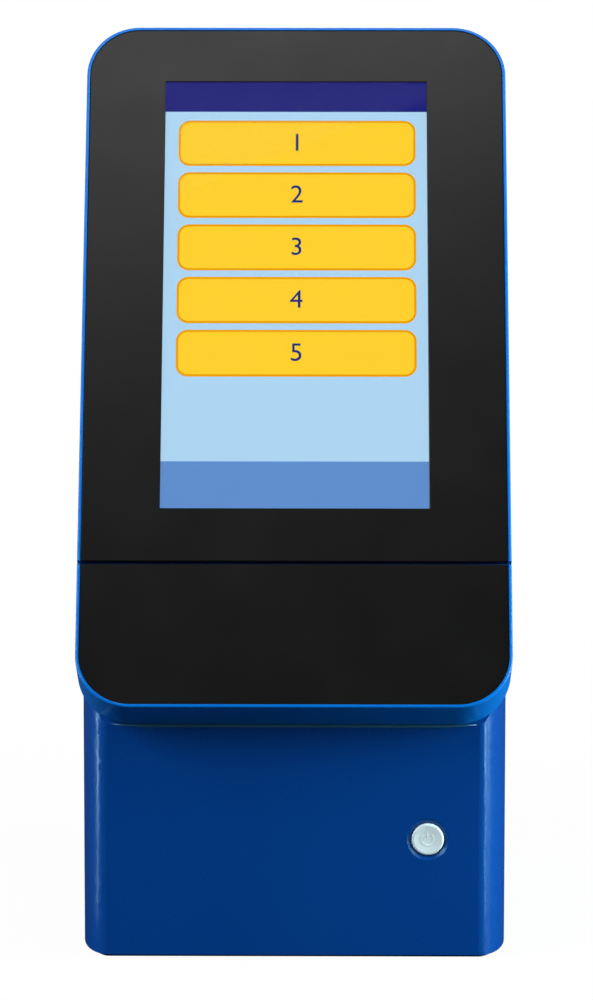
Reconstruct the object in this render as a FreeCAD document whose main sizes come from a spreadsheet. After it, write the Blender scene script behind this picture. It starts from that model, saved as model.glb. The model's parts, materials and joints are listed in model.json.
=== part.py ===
"""Bench-top chemistry analyzer with a leaning touch screen and a loading drawer.

Millimetres, +Z up. X runs to the right of someone facing the screen, the front faces -Y,
and the origin is on the bench under the middle of the machine.
"""
import FreeCAD, Part
import math
import os
import Sketcher

doc = FreeCAD.newDocument("chemistry_analyzer")
sheet = doc.addObject("Spreadsheet::Sheet", "sizes")


class Amount:
    """A length or angle: its number, and the formula in sheet cells that gives it."""

    def __init__(self, text, number):
        self.text = text
        self.number = float(number)

    def joined(self, other, sign, number):
        return Amount("(" + self.text + " " + sign + " " + other.text + ")", number)

    def __add__(self, other):
        other = amount(other)
        return self.joined(other, "+", self.number + other.number)

    def __sub__(self, other):
        other = amount(other)
        return self.joined(other, "-", self.number - other.number)

    def __mul__(self, other):
        other = amount(other)
        return self.joined(other, "*", self.number * other.number)

    def __truediv__(self, other):
        other = amount(other)
        return self.joined(other, "/", self.number / other.number)

    def __radd__(self, other):
        return amount(other) + self

    def __rsub__(self, other):
        return amount(other) - self

    def __rmul__(self, other):
        return amount(other) * self

    def __rtruediv__(self, other):
        return amount(other) / self

    def __neg__(self):
        return amount(0) - self


def amount(value):
    """Any number as an Amount."""
    if isinstance(value, Amount):
        return value
    return Amount("(" + format(float(value), ".6f") + ")", value)


def sine(angle):
    angle = amount(angle)
    return Amount("sin(" + angle.text + ")", math.sin(math.radians(angle.number)))


def cosine(angle):
    angle = amount(angle)
    return Amount("cos(" + angle.text + ")", math.cos(math.radians(angle.number)))


def tangent(angle):
    angle = amount(angle)
    return Amount("tan(" + angle.text + ")", math.tan(math.radians(angle.number)))


def whole(count):
    count = amount(count)
    return Amount("round(" + count.text + ")", round(count.number))


# Driving sizes

SIZES = {
    "overall_height": 324.0,
    "head_width": 152.4,
    "overall_depth": 206.0,
    "body_width": 150.2,
    "lean_angle": 28.0,
    "head_foot_height": 93.9,
    "head_thickness": 19.7,
    "head_corner": 19.1,
    "rim": 1.1,
    "rim_proud": 0.4,
    "edge_round": 0.6,
    "head_wall": 3.0,
    "head_back": 2.2,
    "panel_thickness": 2.8,
    "window_width": 94.8,
    "window_start": 73.5,
    "window_top_margin": 21.9,
    "window_lip": 0.3,
    "glass_margin": 3.0,
    "glass_gap": 0.1,
    "glass_corner": 1.5,
    "panel_gap": 0.05,
    "glass_thickness": 1.1,
    "seam_height": 53.2,
    "seam_gap": 1.2,
    "display_thickness": 6.0,
    "display_margin": 5.0,
    "board_thickness": 1.6,
    "display_post": 2.6,
    "display_post_radius": 3.0,
    "display_post_x": 40.0,
    "display_post_rise": 30.0,
    "display_screw_radius": 1.2,
    "display_board_half": 45.0,
    "display_board_rise": 36.0,
    "head_boss_radius": 4.0,
    "head_boss_height": 6.0,
    "head_screw_side_gap": 8.5,
    "head_screw_low": 36.2,
    "head_screw_high": 40.0,
    "cable_half": 10.0,
    "cable_rise": 14.0,
    "wall": 2.6,
    "shell_foot": 2.0,
    "boss_radius": 4.0,
    "boss_height": 24.0,
    "boss_side_gap": 16.5,
    "boss_end_gap": 8.6,
    "boss_cap": 3.0,
    "rib_half": 1.0,
    "front_corner_wide": 10.0,
    "front_corner_deep": 28.0,
    "side_round": 18.0,
    "rear_round": 26.0,
    "top_slope": 5.0,
    "top_drop": 2.0,
    "hinge_proud": 2.0,
    "plate_foot": 0.8,
    "plate_thickness": 2.8,
    "fit_gap": 0.3,
    "screw_gap": 0.2,
    "drawer_gap": 0.4,
    "foot_radius": 8.0,
    "foot_recess": 1.2,
    "foot_taper": 1.0,
    "foot_shoulder": 0.2,
    "foot_gap": 0.1,
    "foot_side_gap": 20.5,
    "foot_front_gap": 25.006,
    "foot_rear_gap": 24.4,
    "opening_side_gap": 8.0,
    "opening_lift": 2.0,
    "opening_height": 36.0,
    "nest_setback": 65.606,
    "nest_margin": 4.0,
    "nest_depth": 4.6,
    "nest_rear_web": 13.0,
    "hub_hole_radius": 15.0,
    "tray_side": 2.0,
    "tray_lift": 18.0,
    "tray_thickness": 6.0,
    "tray_skirt": 5.0,
    "tray_rear_gap": 10.4,
    "arm_width": 8.0,
    "tongue_drop": 3.2,
    "tongue_height": 3.0,
    "tongue_reach": 3.0,
    "finger_radius": 13.0,
    "finger_inset": 2.0,
    "beam_hole_radius": 4.0,
    "tongue_lead": 4.0,
    "flag_lift": 2.0,
    "flag_height": 2.0,
    "flag_reach": 10.0,
    "flag_setback": 3.0,
    "flag_length": 4.0,
    "sensor_setback": 18.0,
    "sensor_reach": 13.0,
    "sensor_width": 6.5,
    "sensor_length": 10.0,
    "sensor_gap": 0.6,
    "sensor_height": 6.0,
    "sensor_back": 2.0,
    "front_rib_half": 0.8,
    "front_rib_pitch": 30.0,
    "deck_drop": 3.9,
    "deck_thickness": 2.0,
    "deck_side_gap": 6.5,
    "deck_front_gap": 11.606,
    "deck_rear_gap": 14.4,
    "deck_hole_radius": 23.0,
    "deck_side_ahead": 8.0,
    "deck_leg_half": 30.0,
    "deck_window_behind": 20.0,
    "deck_window_foot": 26.0,
    "deck_window_drop": 18.0,
    "deck_window_rear_gap": 24.0,
    "leg_window_half": 18.0,
    "leg_window_foot": 16.0,
    "deck_slot_side_gap": 26.0,
    "deck_slot_rear_gap": 8.0,
    "rail_width": 5.7,
    "rail_height": 19.0,
    "rail_setback": 21.606,
    "gear_module": 1.0,
    "pinion_teeth": 18.0,
    "pinion_ahead": 25.0,
    "gear_height": 4.0,
    "gear_lift": 0.5,
    "gear_slack": 0.16,
    "pressure_angle": 20.0,
    "tooth_root": 1.25,
    "rack_lead_teeth": 2.0,
    "rack_end_gap": 4.0,
    "pinion_sleeve_radius": 4.0,
    "pinion_sleeve_lift": 2.0,
    "motor_side_gap": 2.25,
    "drive_motor_radius": 12.0,
    "drive_motor_length": 26.0,
    "drive_shaft_radius": 2.0,
    "drive_shaft_depth": 20.0,
    "drive_collar_height": 1.6,
    "drive_tail_radius": 6.0,
    "drive_tail_length": 2.0,
    "running_gap": 0.05,
    "spindle_motor_radius": 18.5,
    "spindle_motor_height": 26.0,
    "spindle_shaft_radius": 2.5,
    "spindle_shaft_depth": 18.0,
    "spindle_nose_radius": 6.0,
    "spindle_nose_height": 2.0,
    "shaft_cover": 4.0,
    "carriage_drop": 34.0,
    "carriage_thickness": 3.0,
    "carriage_half": 20.0,
    "carriage_margin": 7.0,
    "bush_wall": 2.5,
    "bush_drop": 8.0,
    "bush_rise": 6.0,
    "hub_radius": 13.0,
    "hub_lift": 16.4,
    "hub_sleeve_radius": 6.0,
    "hub_flange_drop": 5.0,
    "hub_crown": 2.4,
    "hub_neck": 3.0,
    "hub_crown_foot": 9.0,
    "hub_crown_top": 8.0,
    "hub_teeth": 6.0,
    "hub_tooth_start": 9.6,
    "hub_tooth_end": 12.2,
    "hub_tooth_half": 1.5,
    "hub_tooth_height": 1.4,
    "post_radius": 3.0,
    "post_spread": 30.0,
    "plunger_radius": 3.0,
    "actuator_half": 14.0,
    "actuator_height": 30.0,
    "actuator_collar_radius": 8.0,
    "actuator_collar_height": 2.0,
    "plunger_well": 4.0,
    "plunger_lift": 10.0,
    "heater_lift": 34.0,
    "heater_thickness": 2.5,
    "heater_margin": 3.0,
    "heater_ahead": 25.0,
    "heater_rear_gap": 12.0,
    "standoff_radius": 2.5,
    "standoff_side_gap": 11.5,
    "standoff_ahead": 5.0,
    "standoff_rear_gap": 24.0,
    "beam_margin": 5.0,
    "lens_bore_radius": 5.0,
    "lens_flange_radius": 6.0,
    "lens_flange_drop": 0.4,
    "lens_clear_radius": 3.4,
    "lens_rise": 10.0,
    "lamp_half": 16.0,
    "lamp_front_gap": 12.0,
    "lamp_length": 46.0,
    "lamp_height": 24.0,
    "fin_start": 10.0,
    "fin_pitch": 4.0,
    "fin_foot": 18.0,
    "fin_top": 30.0,
    "meter_half": 15.0,
    "meter_rear": 16.0,
    "meter_height": 15.0,
    "meter_well_radius": 3.0,
    "meter_well_foot": 8.0,
    "reader_x": -34.0,
    "reader_half": 14.0,
    "reader_deep": 11.0,
    "reader_height": 12.0,
    "reader_nose_half": 8.0,
    "reader_nose_deep": 5.0,
    "reader_eye_radius": 3.0,
    "reader_window_half": 10.0,
    "reader_window_deep": 8.0,
    "button_side_gap": 28.05,
    "button_z": 43.6,
    "button_radius": 5.65,
    "button_travel": 1.2,
    "button_gap": 0.3,
    "button_proud": 0.3,
    "button_soft": 0.5,
    "button_dip": 0.4,
    "dish_radius": 7.4,
    "dish_depth": 0.8,
    "dish_wall_depth": 8.0,
    "dish_wall": 2.0,
    "button_lip": 1.5,
    "button_flange": 1.0,
    "button_stem": 3.0,
    "button_stem_length": 1.0,
    "switch_half": 3.0,
    "switch_depth": 4.0,
    "switch_plunger_radius": 1.7,
    "button_board_margin": 9.0,
    "main_board_bottom": 12.0,
    "main_board_side_gap": 22.5,
    "main_board_depth": 74.0,
    "main_board_rear_gap": 5.0,
    "board_post_radius": 3.5,
    "board_hole_inset": 4.0,
    "board_hole_rear_gap": 28.0,
    "capacitor_inset": 16.0,
    "capacitor_pitch": 12.0,
    "capacitor_setback": 40.0,
    "capacitor_radius": 5.0,
    "capacitor_height": 12.0,
    "ethernet_inset": 12.0,
    "ethernet_width": 16.0,
    "ethernet_height": 13.4,
    "ethernet_wall": 2.0,
    "ethernet_plug_half": 5.9,
    "ethernet_plug_height": 8.5,
    "latch_half": 3.1,
    "latch_rise": 1.5,
    "usb_x": -8.0,
    "usb_width": 14.4,
    "usb_height": 15.2,
    "usb_wall": 1.2,
    "usb_pitch": 7.7,
    "usb_plug_half": 6.2,
    "usb_plug_height": 5.1,
    "usb_tongue_half": 5.6,
    "usb_tongue_lift": 2.6,
    "usb_tongue_height": 1.9,
    "inlet_inset": 18.0,
    "inlet_size": 11.0,
    "inlet_bore_radius": 3.2,
    "inlet_pin_radius": 1.0,
    "inlet_depth": 11.0,
    "socket_depth": 21.0,
    "socket_setback": 0.3,
    "plug_depth": 14.0,
    "speaker_radius": 14.0,
    "speaker_rim": 3.0,
    "speaker_magnet_radius": 8.0,
    "speaker_height": 7.0,
    "speaker_side_gap": 28.5,
    "speaker_ahead": 16.0,
    "grille_half": 11.0,
    "grille_pitch": 5.0,
    "grille_slot_half": 1.2,
    "grille_slots": 4.0,
    "fan_half": 30.0,
    "fan_depth": 15.0,
    "fan_z": 165.0,
    "fan_bore": 28.0,
    "fan_hub": 14.0,
    "fan_hole_radius": 2.0,
    "fan_hole_place": 25.0,
    "fan_axle_radius": 1.5,
    "fan_axle_depth": 11.0,
    "fan_strut_half": 1.2,
    "fan_strut_depth": 2.0,
    "fan_end_gap": 0.6,
    "blade_thickness": 1.4,
    "blade_width": 15.0,
    "blade_pitch_angle": 48.0,
    "blade_count": 7.0,
    "slot_height": 2.6,
    "slot_pitch": 5.6,
    "slot_count": 9.0,
    "vent_radius": 25.0,
    "vent_least": 6.0,
    "door_half": 34.0,
    "door_setback": 8.323,
    "knuckle_radius": 2.2,
    "knuckle_far": 26.0,
    "knuckle_near": 20.0,
    "knuckle_root": 12.0,
    "knuckle_gap": 0.4,
    "hinge_pin_radius": 0.9,
    "platen_radius": 5.0,
    "platen_setback": 6.5,
    "platen_drop": 11.751,
    "platen_half": 28.0,
    "platen_axle_radius": 1.5,
    "door_arm_inner": 30.4,
    "door_arm_outer": 32.6,
    "door_arm_ahead": 3.0,
    "door_arm_behind": 9.0,
    "door_arm_drop": 3.0,
    "door_arm_rise": 8.0,
    "paper_slot_half": 29.5,
    "paper_slot_depth": 1.2,
    "print_head_half": 29.0,
    "print_head_plate": 2.0,
    "print_head_rise": 3.0,
    "print_head_body_half": 26.0,
    "bucket_front_gap": 16.5,
    "bucket_side_gap": 0.6,
    "hinge_room_depth": 16.0,
    "hinge_room_drop": 4.0,
    "roll_half": 28.5,
    "roll_room": 10.0,
    "roll_drop": 18.0,
    "door_hinge_drop": 18.0,
    "roll_rear_gap": 8.4,
    "bucket_wall": 2.4,
    "screw_radius": 1.5,
    "screw_head_radius": 2.8,
    "screw_head_height": 1.8,
    "base_screw_length": 12.0,
    "board_screw_length": 7.0,
    "head_screw_length": 8.0,
}

for row, (alias, number) in enumerate(SIZES.items(), start=1):
    sheet.set("A" + str(row), alias)
    sheet.set("B" + str(row), str(number))
    sheet.setAlias("B" + str(row), alias)
doc.recompute()


class Sizes:
    """The sheet's cells by name, each as an Amount."""


d = Sizes()
for alias, number in SIZES.items():
    setattr(d, alias, Amount("sizes." + alias, number))

parts = []


def bind(thing, prop, value):
    """Tie one property of an object to sheet cells."""
    thing.setExpression(prop, amount(value).text)


def place(thing, x=0, y=0, z=0):
    bind(thing, "Placement.Base.x", x)
    bind(thing, "Placement.Base.y", y)
    bind(thing, "Placement.Base.z", z)


def keep(label, thing):
    """Name a finished sub-part; the label is also its file name."""
    thing.Label = label
    parts.append(thing)
    return thing


# Primitives between named limits

def box(x0, x1, y0, y1, z0, z1):
    block = doc.addObject("Part::Box", "block")
    bind(block, "Length", amount(x1) - x0)
    bind(block, "Width", amount(y1) - y0)
    bind(block, "Height", amount(z1) - z0)
    place(block, x0, y0, z0)
    return block


TURNS = {
    "x": FreeCAD.Rotation(FreeCAD.Vector(0, 1, 0), 90),
    "y": FreeCAD.Rotation(FreeCAD.Vector(1, 0, 0), -90),
    "z": FreeCAD.Rotation(),
}


def turned_base(axis, across, start):
    """Where a turned solid starts: its two cross places and its place along the axis."""
    if axis == "x":
        return (start, across[0], across[1])
    if axis == "y":
        return (across[0], start, across[1])
    return (across[0], across[1], start)


def rod(axis, across, radius, start, end):
    """A cylinder along an axis; across holds its places on the other two axes."""
    bar = doc.addObject("Part::Cylinder", "bar")
    bind(bar, "Radius", radius)
    bind(bar, "Height", amount(end) - start)
    bar.Placement = FreeCAD.Placement(FreeCAD.Vector(), TURNS[axis])
    place(bar, *turned_base(axis, across, start))
    return bar


def cone(axis, across, first_radius, last_radius, start, end):
    taper = doc.addObject("Part::Cone", "taper")
    bind(taper, "Radius1", first_radius)
    bind(taper, "Radius2", last_radius)
    bind(taper, "Height", amount(end) - start)
    taper.Placement = FreeCAD.Placement(FreeCAD.Vector(), TURNS[axis])
    place(taper, *turned_base(axis, across, start))
    return taper


def fuse(*pieces):
    if len(pieces) == 1:
        return pieces[0]
    joined = doc.addObject("Part::MultiFuse", "joined")
    joined.Shapes = list(pieces)
    joined.Refine = True
    return joined


def gather(pieces):
    """Separate solids that make one node."""
    group = doc.addObject("Part::Compound", "group")
    group.Links = list(pieces)
    return group


def cut(base, *tools):
    result = doc.addObject("Part::Cut", "trimmed")
    result.Base = base
    result.Tool = fuse(*tools)
    return result


def common(first, second):
    overlap = doc.addObject("Part::Common", "overlap")
    overlap.Base = first
    overlap.Tool = second
    return overlap


# Sketched bodies

def new_body():
    return doc.addObject("PartDesign::Body", "body")


def new_sketch(body, role, offset=0):
    """A sketch on one of the body's own origin planes, moved along the plane's normal."""
    sketch = body.newObject("Sketcher::SketchObject", "sketch")
    plane = [item for item in body.Origin.OriginFeatures if item.Role == role][0]
    sketch.AttachmentSupport = [(plane, "")]
    sketch.MapMode = "FlatFace"
    bind(sketch, "AttachmentOffset.Base.z", offset)
    return sketch


def tie(sketch, kind, terms, value):
    """Add one dimension to a sketch and bind it."""
    value = amount(value)
    index = sketch.addConstraint(Sketcher.Constraint(kind, *terms, value.number))
    bind(sketch, "Constraints[" + str(index) + "]", value)


def tie_point(sketch, edge, end, x, y):
    tie(sketch, "DistanceX", (-1, 1, edge, end), x)
    tie(sketch, "DistanceY", (-1, 1, edge, end), y)


def draw_outline(sketch, corners):
    """A closed outline of straight edges through the corners, each tied to its sizes."""
    points = [(amount(x), amount(y)) for x, y in corners]
    count = len(points)
    first = sketch.GeometryCount
    for index, (x, y) in enumerate(points):
        next_x, next_y = points[(index + 1) % count]
        start = FreeCAD.Vector(x.number, y.number, 0)
        end = FreeCAD.Vector(next_x.number, next_y.number, 0)
        sketch.addGeometry(Part.LineSegment(start, end))
    for index in range(count):
        after = first + (index + 1) % count
        sketch.addConstraint(Sketcher.Constraint("Coincident", first + index, 2, after, 1))
    for index, (x, y) in enumerate(points):
        tie_point(sketch, first + index, 1, x, y)


def draw_box(sketch, x0, x1, y0, y1):
    draw_outline(sketch, [(x0, y0), (x1, y0), (x1, y1), (x0, y1)])


def pad(body, sketch, length, both_ways=False):
    feature = body.newObject("PartDesign::Pad", "pad")
    feature.Profile = sketch
    bind(feature, "Length", length)
    feature.Midplane = both_ways
    doc.recompute()
    return feature


def round_edges(body, feature, radius, wanted):
    """Round the edges of the last feature that the test picks."""
    names = []
    for index, edge in enumerate(feature.Shape.Edges, start=1):
        if wanted(edge):
            names.append("Edge" + str(index))
    fillet = body.newObject("PartDesign::Fillet", "fillet")
    fillet.Base = (feature, names)
    bind(fillet, "Radius", radius)
    doc.recompute()
    return fillet


def runs_along(edge, axis):
    """True for a straight edge parallel to X, Y or Z (0, 1 or 2)."""
    if edge.Curve.TypeId != "Part::GeomLine":
        return False
    step = edge.Vertexes[-1].Point - edge.Vertexes[0].Point
    return abs(abs(step[axis]) - step.Length) < 1e-6


# Derived places

front_y = -d.overall_depth / 2
rear_y = d.overall_depth / 2 - d.hinge_proud
head_length = (d.overall_height - d.head_foot_height) / cosine(d.lean_angle)
head_half = d.head_width / 2
body_half = d.body_width / 2
body_front = front_y + d.head_thickness * cosine(d.lean_angle)
crease_z = d.head_foot_height - d.head_thickness * sine(d.lean_angle)
lean_tangent = tangent(d.lean_angle)
seam_low = d.seam_height - d.seam_gap / 2
seam_high = d.seam_height + d.seam_gap / 2
window_length = head_length - d.window_start - d.window_top_margin

inner_half = body_half - d.wall
inner_front = body_front + d.wall
inner_rear = rear_y - d.wall
floor_z = d.plate_foot + d.plate_thickness

teeth = whole(d.pinion_teeth)
pitch_radius = d.gear_module * teeth / 2
pinion_x = inner_half - d.motor_side_gap - d.drive_motor_radius
rack_line = pinion_x - pitch_radius
tray_outer = rack_line - d.tooth_root * d.gear_module
tray_half = tray_outer - d.tray_side
nest_radius = tray_half - d.nest_margin
nest_y = body_front + d.nest_setback
pinion_y = nest_y - d.pinion_ahead

deck_top = d.head_foot_height - d.deck_drop
deck_half = inner_half - d.deck_side_gap
deck_front = body_front + d.deck_front_gap
deck_rear = inner_rear - d.deck_rear_gap
opening_half = tray_outer + d.opening_side_gap
opening_low = deck_top + d.opening_lift
opening_high = opening_low + d.opening_height
tray_bottom = deck_top + d.tray_lift
tray_top = tray_bottom + d.tray_thickness
tray_side_bottom = tray_bottom - d.tray_skirt
tray_rear = inner_rear - d.tray_rear_gap
tray_plate_rear = nest_y + nest_radius + d.nest_rear_web
tongue_bottom = tray_bottom - d.tongue_drop
rail_top = deck_top + d.rail_height
rail_front = body_front + d.rail_setback
gear_bottom = rail_top + d.gear_lift
flag_bottom = tray_bottom + d.flag_lift
flag_top = flag_bottom + d.flag_height
sensor_front = deck_rear - d.sensor_setback

carriage_bottom = deck_top - d.carriage_drop
carriage_top = carriage_bottom + d.carriage_thickness
spindle_motor_top = carriage_top + d.spindle_motor_height
hub_top = deck_top + d.hub_lift

standoff_x = inner_half - d.standoff_side_gap
standoff_front = nest_y - d.standoff_ahead
standoff_rear = deck_rear - d.standoff_rear_gap
heater_bottom = deck_top + d.heater_lift
heater_half = standoff_x + d.heater_margin
heater_front = nest_y - d.heater_ahead
heater_rear = deck_rear - d.heater_rear_gap
beam_radius = nest_radius - d.beam_margin
beam_y = nest_y + beam_radius

main_board_half = inner_half - d.main_board_side_gap
main_board_rear = rear_y - d.main_board_rear_gap
main_board_front = main_board_rear - d.main_board_depth
socket_floor = d.main_board_bottom + d.board_thickness
speaker_x = d.speaker_side_gap - inner_half
speaker_y = nest_y - d.speaker_ahead
foot_x = inner_half - d.foot_side_gap
foot_front = inner_front + d.foot_front_gap
foot_rear = inner_rear - d.foot_rear_gap
boss_x = inner_half - d.boss_side_gap
boss_front = inner_front + d.boss_end_gap
boss_rear = inner_rear - d.boss_end_gap
boss_top = floor_z + d.boss_height
head_screw_x = inner_half - d.head_screw_side_gap
button_x = body_half - d.button_side_gap


def back_plane_y(z, inset=0):
    """Depth of the housing's leaning front wall at a height, moved inwards by inset."""
    return body_front + (z - crease_z) * lean_tangent + inset / cosine(d.lean_angle)


shoulder_z = d.overall_height - d.head_thickness * sine(d.lean_angle) - d.top_drop
shoulder_y = back_plane_y(shoulder_z)
door_front = shoulder_y + d.door_setback
platen_y = door_front + d.platen_setback
platen_z = shoulder_z - d.platen_drop
roll_radius = (inner_rear - d.roll_rear_gap - door_front - d.roll_room) / 2
roll_y = inner_rear - d.roll_rear_gap - roll_radius
roll_z = platen_z - d.roll_drop
door_hinge_z = roll_z - d.door_hinge_drop
hinge_y = rear_y + d.hinge_proud - d.knuckle_radius
display_middle = d.window_start + window_length / 2
cable_low = display_middle - d.cable_half
cable_high = cable_low + d.cable_rise

# How far a cut runs past the face that it opens

past = amount(1)


def lean(thing):
    """Stand a piece drawn flat (X across, Y up the face, Z out of it) in the leaning head."""
    thing.Placement = FreeCAD.Placement(
        FreeCAD.Vector(), FreeCAD.Rotation(FreeCAD.Vector(1, 0, 0), 90 - d.lean_angle.number)
    )
    place(thing, 0, front_y, d.head_foot_height)
    bind(thing, "Placement.Rotation.Angle", 90 - d.lean_angle)
    return thing


# Housing

def housing_block(inset, foot):
    """The housing's outer form, or the same form drawn in by a wall."""
    inset = amount(inset)
    body = new_body()
    sketch = new_sketch(body, "YZ_Plane")
    front = body_front + inset
    rear = rear_y - inset
    crease = crease_z - inset * tangent(d.lean_angle / 2)
    slope = tangent(d.top_slope)
    drop = inset / cosine(d.top_slope)
    corner_y = (
        shoulder_y + inset / cosine(d.lean_angle) - drop * lean_tangent
    ) / (1 + slope * lean_tangent) + (
        shoulder_y * slope * lean_tangent
    ) / (1 + slope * lean_tangent)
    corner_z = shoulder_z - (corner_y - shoulder_y) * slope - drop
    rear_top = shoulder_z - (rear - shoulder_y) * slope - drop
    draw_outline(sketch, [
        (front, foot), (front, crease), (corner_y, corner_z), (rear, rear_top), (rear, foot),
    ])
    profile = pad(body, sketch, 2 * (body_half - inset), both_ways=True)
    top_rear = round_edges(
        body, profile, d.rear_round - inset,
        lambda edge: runs_along(edge, 0)
        and edge.Vertexes[0].Y > rear.number - 1e-3
        and edge.Vertexes[0].Z > crease.number,
    )
    round_edges(
        body, top_rear, d.side_round - inset,
        lambda edge: side_edge(edge, body_half.number - inset.number, corner_y.number),
    )
    wide = d.front_corner_wide - inset
    deep = d.front_corner_deep - inset
    corner_rear = body_front + d.front_corner_deep
    reach = rear + 1
    plan = [
        box(-(body_half - d.front_corner_wide), body_half - d.front_corner_wide,
            front, reach, foot, d.overall_height),
        box(-(body_half - inset) - 1, body_half - inset + 1,
            corner_rear, reach, foot, d.overall_height),
    ]
    for side in (-1, 1):
        plan.append(corner_column(side, wide, deep, corner_rear, foot))
    return common(body, fuse(*plan))


def side_edge(edge, half, corner_y):
    """True for the housing's side edges over the top and down the back."""
    box_of = edge.BoundBox
    on_side = abs(abs(box_of.XMin) - half) < 1e-3 and box_of.XLength < 1e-3
    behind = box_of.YMin > corner_y - 1e-3
    at_foot = box_of.ZLength < 1e-3 and box_of.ZMin < crease_z.number
    return on_side and behind and not at_foot


def corner_column(side, wide, deep, centre_y, foot):
    """A column with an elliptical plan for one swept front corner."""
    oval = doc.addObject("Part::Ellipse", "oval")
    bind(oval, "MajorRadius", deep)
    bind(oval, "MinorRadius", wide)
    oval.Placement = FreeCAD.Placement(
        FreeCAD.Vector(), FreeCAD.Rotation(FreeCAD.Vector(0, 0, 1), 90)
    )
    place(oval, side * (body_half - d.front_corner_wide), centre_y, foot)
    column = doc.addObject("Part::Extrusion", "column")
    column.Base = oval
    column.DirMode = "Custom"
    column.Dir = FreeCAD.Vector(0, 0, 1)
    bind(column, "LengthFwd", d.overall_height - foot)
    column.Solid = True
    return column


def screw_bosses():
    """Four posts inside the housing that the base screws bite into, with their ribs."""
    posts = []
    for side in (-1, 1):
        for y, wall_y in ((boss_front, inner_front), (boss_rear, inner_rear)):
            x = side * boss_x
            posts.append(rod("z", (x, y), d.boss_radius, floor_z, boss_top))
            low, high = (wall_y - d.wall / 2, y) if y is boss_front else (y, wall_y + d.wall / 2)
            posts.append(box(x - d.rib_half, x + d.rib_half, low, high,
                             floor_z + d.rib_half, boss_top))
    return posts


def screw_bores():
    """Pilot bores for the base screws."""
    bores = []
    for side in (-1, 1):
        for y in (boss_front, boss_rear):
            bores.append(rod("z", (side * boss_x, y), d.screw_radius + d.running_gap,
                             floor_z - past, boss_top - d.boss_cap))
    return bores


door_knuckle_far = d.knuckle_near - d.knuckle_gap
shell_knuckles = ((-d.knuckle_far, -d.knuckle_near), (d.knuckle_near, d.knuckle_far))
door_knuckles = ((-door_knuckle_far, -d.knuckle_root), (d.knuckle_root, door_knuckle_far))


def hinge_knuckles(spans):
    return [rod("x", (hinge_y, door_hinge_z), d.knuckle_radius, a, b) for a, b in spans]


def hinge_room(spans):
    """The space that the other leaf's knuckles need."""
    radius = d.knuckle_radius + d.knuckle_gap
    return [rod("x", (hinge_y, door_hinge_z), radius, a - d.knuckle_gap, b + d.knuckle_gap)
            for a, b in spans]


def make_main_shell():
    outer = housing_block(0, d.shell_foot)
    inner = housing_block(d.wall, d.shell_foot - past)
    button_bore = d.button_radius + d.button_gap
    openings = [
        box(-opening_half, opening_half,
            front_y, back_plane_y(opening_high, d.wall) + past,
            opening_low, opening_high),
        box(-d.door_half - d.drawer_gap, d.door_half + d.drawer_gap,
            door_front - d.drawer_gap, rear_y + d.hinge_proud + past,
            door_hinge_z - d.drawer_gap, d.overall_height),
        rod("y", (button_x, d.button_z), button_bore,
            body_front - past, body_front + d.dish_wall_depth + past),
        cone("y", (button_x, d.button_z), d.dish_radius, button_bore,
             body_front, body_front + d.dish_depth),
    ]
    through_wall = (-d.head_thickness - d.wall - past, -d.head_thickness + past)
    leaning_holes = [rod("z", spot, d.screw_radius + d.screw_gap, *through_wall)
                     for spot in head_screw_places()]
    cable_room = d.cable_half + 2 * past
    leaning_holes.append(box(-cable_room, cable_room, cable_low - past, cable_high + past,
                             *through_wall))
    openings.append(lean(gather(leaning_holes)))
    openings += hinge_room(door_knuckles)
    openings += vent_slots()
    openings += socket_windows()
    boss = rod("y", (button_x, d.button_z), button_bore + d.dish_wall,
               body_front + d.wall / 2, body_front + d.dish_wall_depth)
    shell = fuse(cut(outer, inner), boss, *screw_bosses(), *hinge_knuckles(shell_knuckles))
    pin_bore = rod("x", (hinge_y, door_hinge_z), d.hinge_pin_radius,
                   -d.knuckle_far - past, d.knuckle_far + past)
    keep("main_shell", cut(shell, *openings, *screw_bores(), pin_bore))


def vent_slots():
    """Slots in the rear wall in front of the fan, cut to the fan's round bore."""
    slots = []
    count = int(round(d.slot_count.number))
    for index in range(count):
        offset = index - (count - 1) / 2
        z = d.fan_z + offset * d.slot_pitch
        rise = offset * d.slot_pitch.number
        half = math.sqrt(max(d.vent_radius.number ** 2 - rise ** 2, d.vent_least.number ** 2))
        slots.append(box(-half, half, rear_y - d.wall - past, rear_y + past,
                         z - d.slot_height / 2, z + d.slot_height / 2))
    return slots


sockets = {
    "ethernet_socket": (d.ethernet_inset - main_board_half, d.ethernet_width, d.ethernet_height),
    "usb_sockets": (d.usb_x, d.usb_width, d.usb_height),
    "power_inlet": (main_board_half - d.inlet_inset, d.inlet_size, d.inlet_size),
}


def socket_windows():
    windows = []
    for x, width, height in sockets.values():
        windows.append(box(x - width / 2 - d.fit_gap, x + width / 2 + d.fit_gap,
                           rear_y - d.wall - past, rear_y + past,
                           socket_floor - d.fit_gap, socket_floor + height + d.fit_gap))
    return windows


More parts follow.
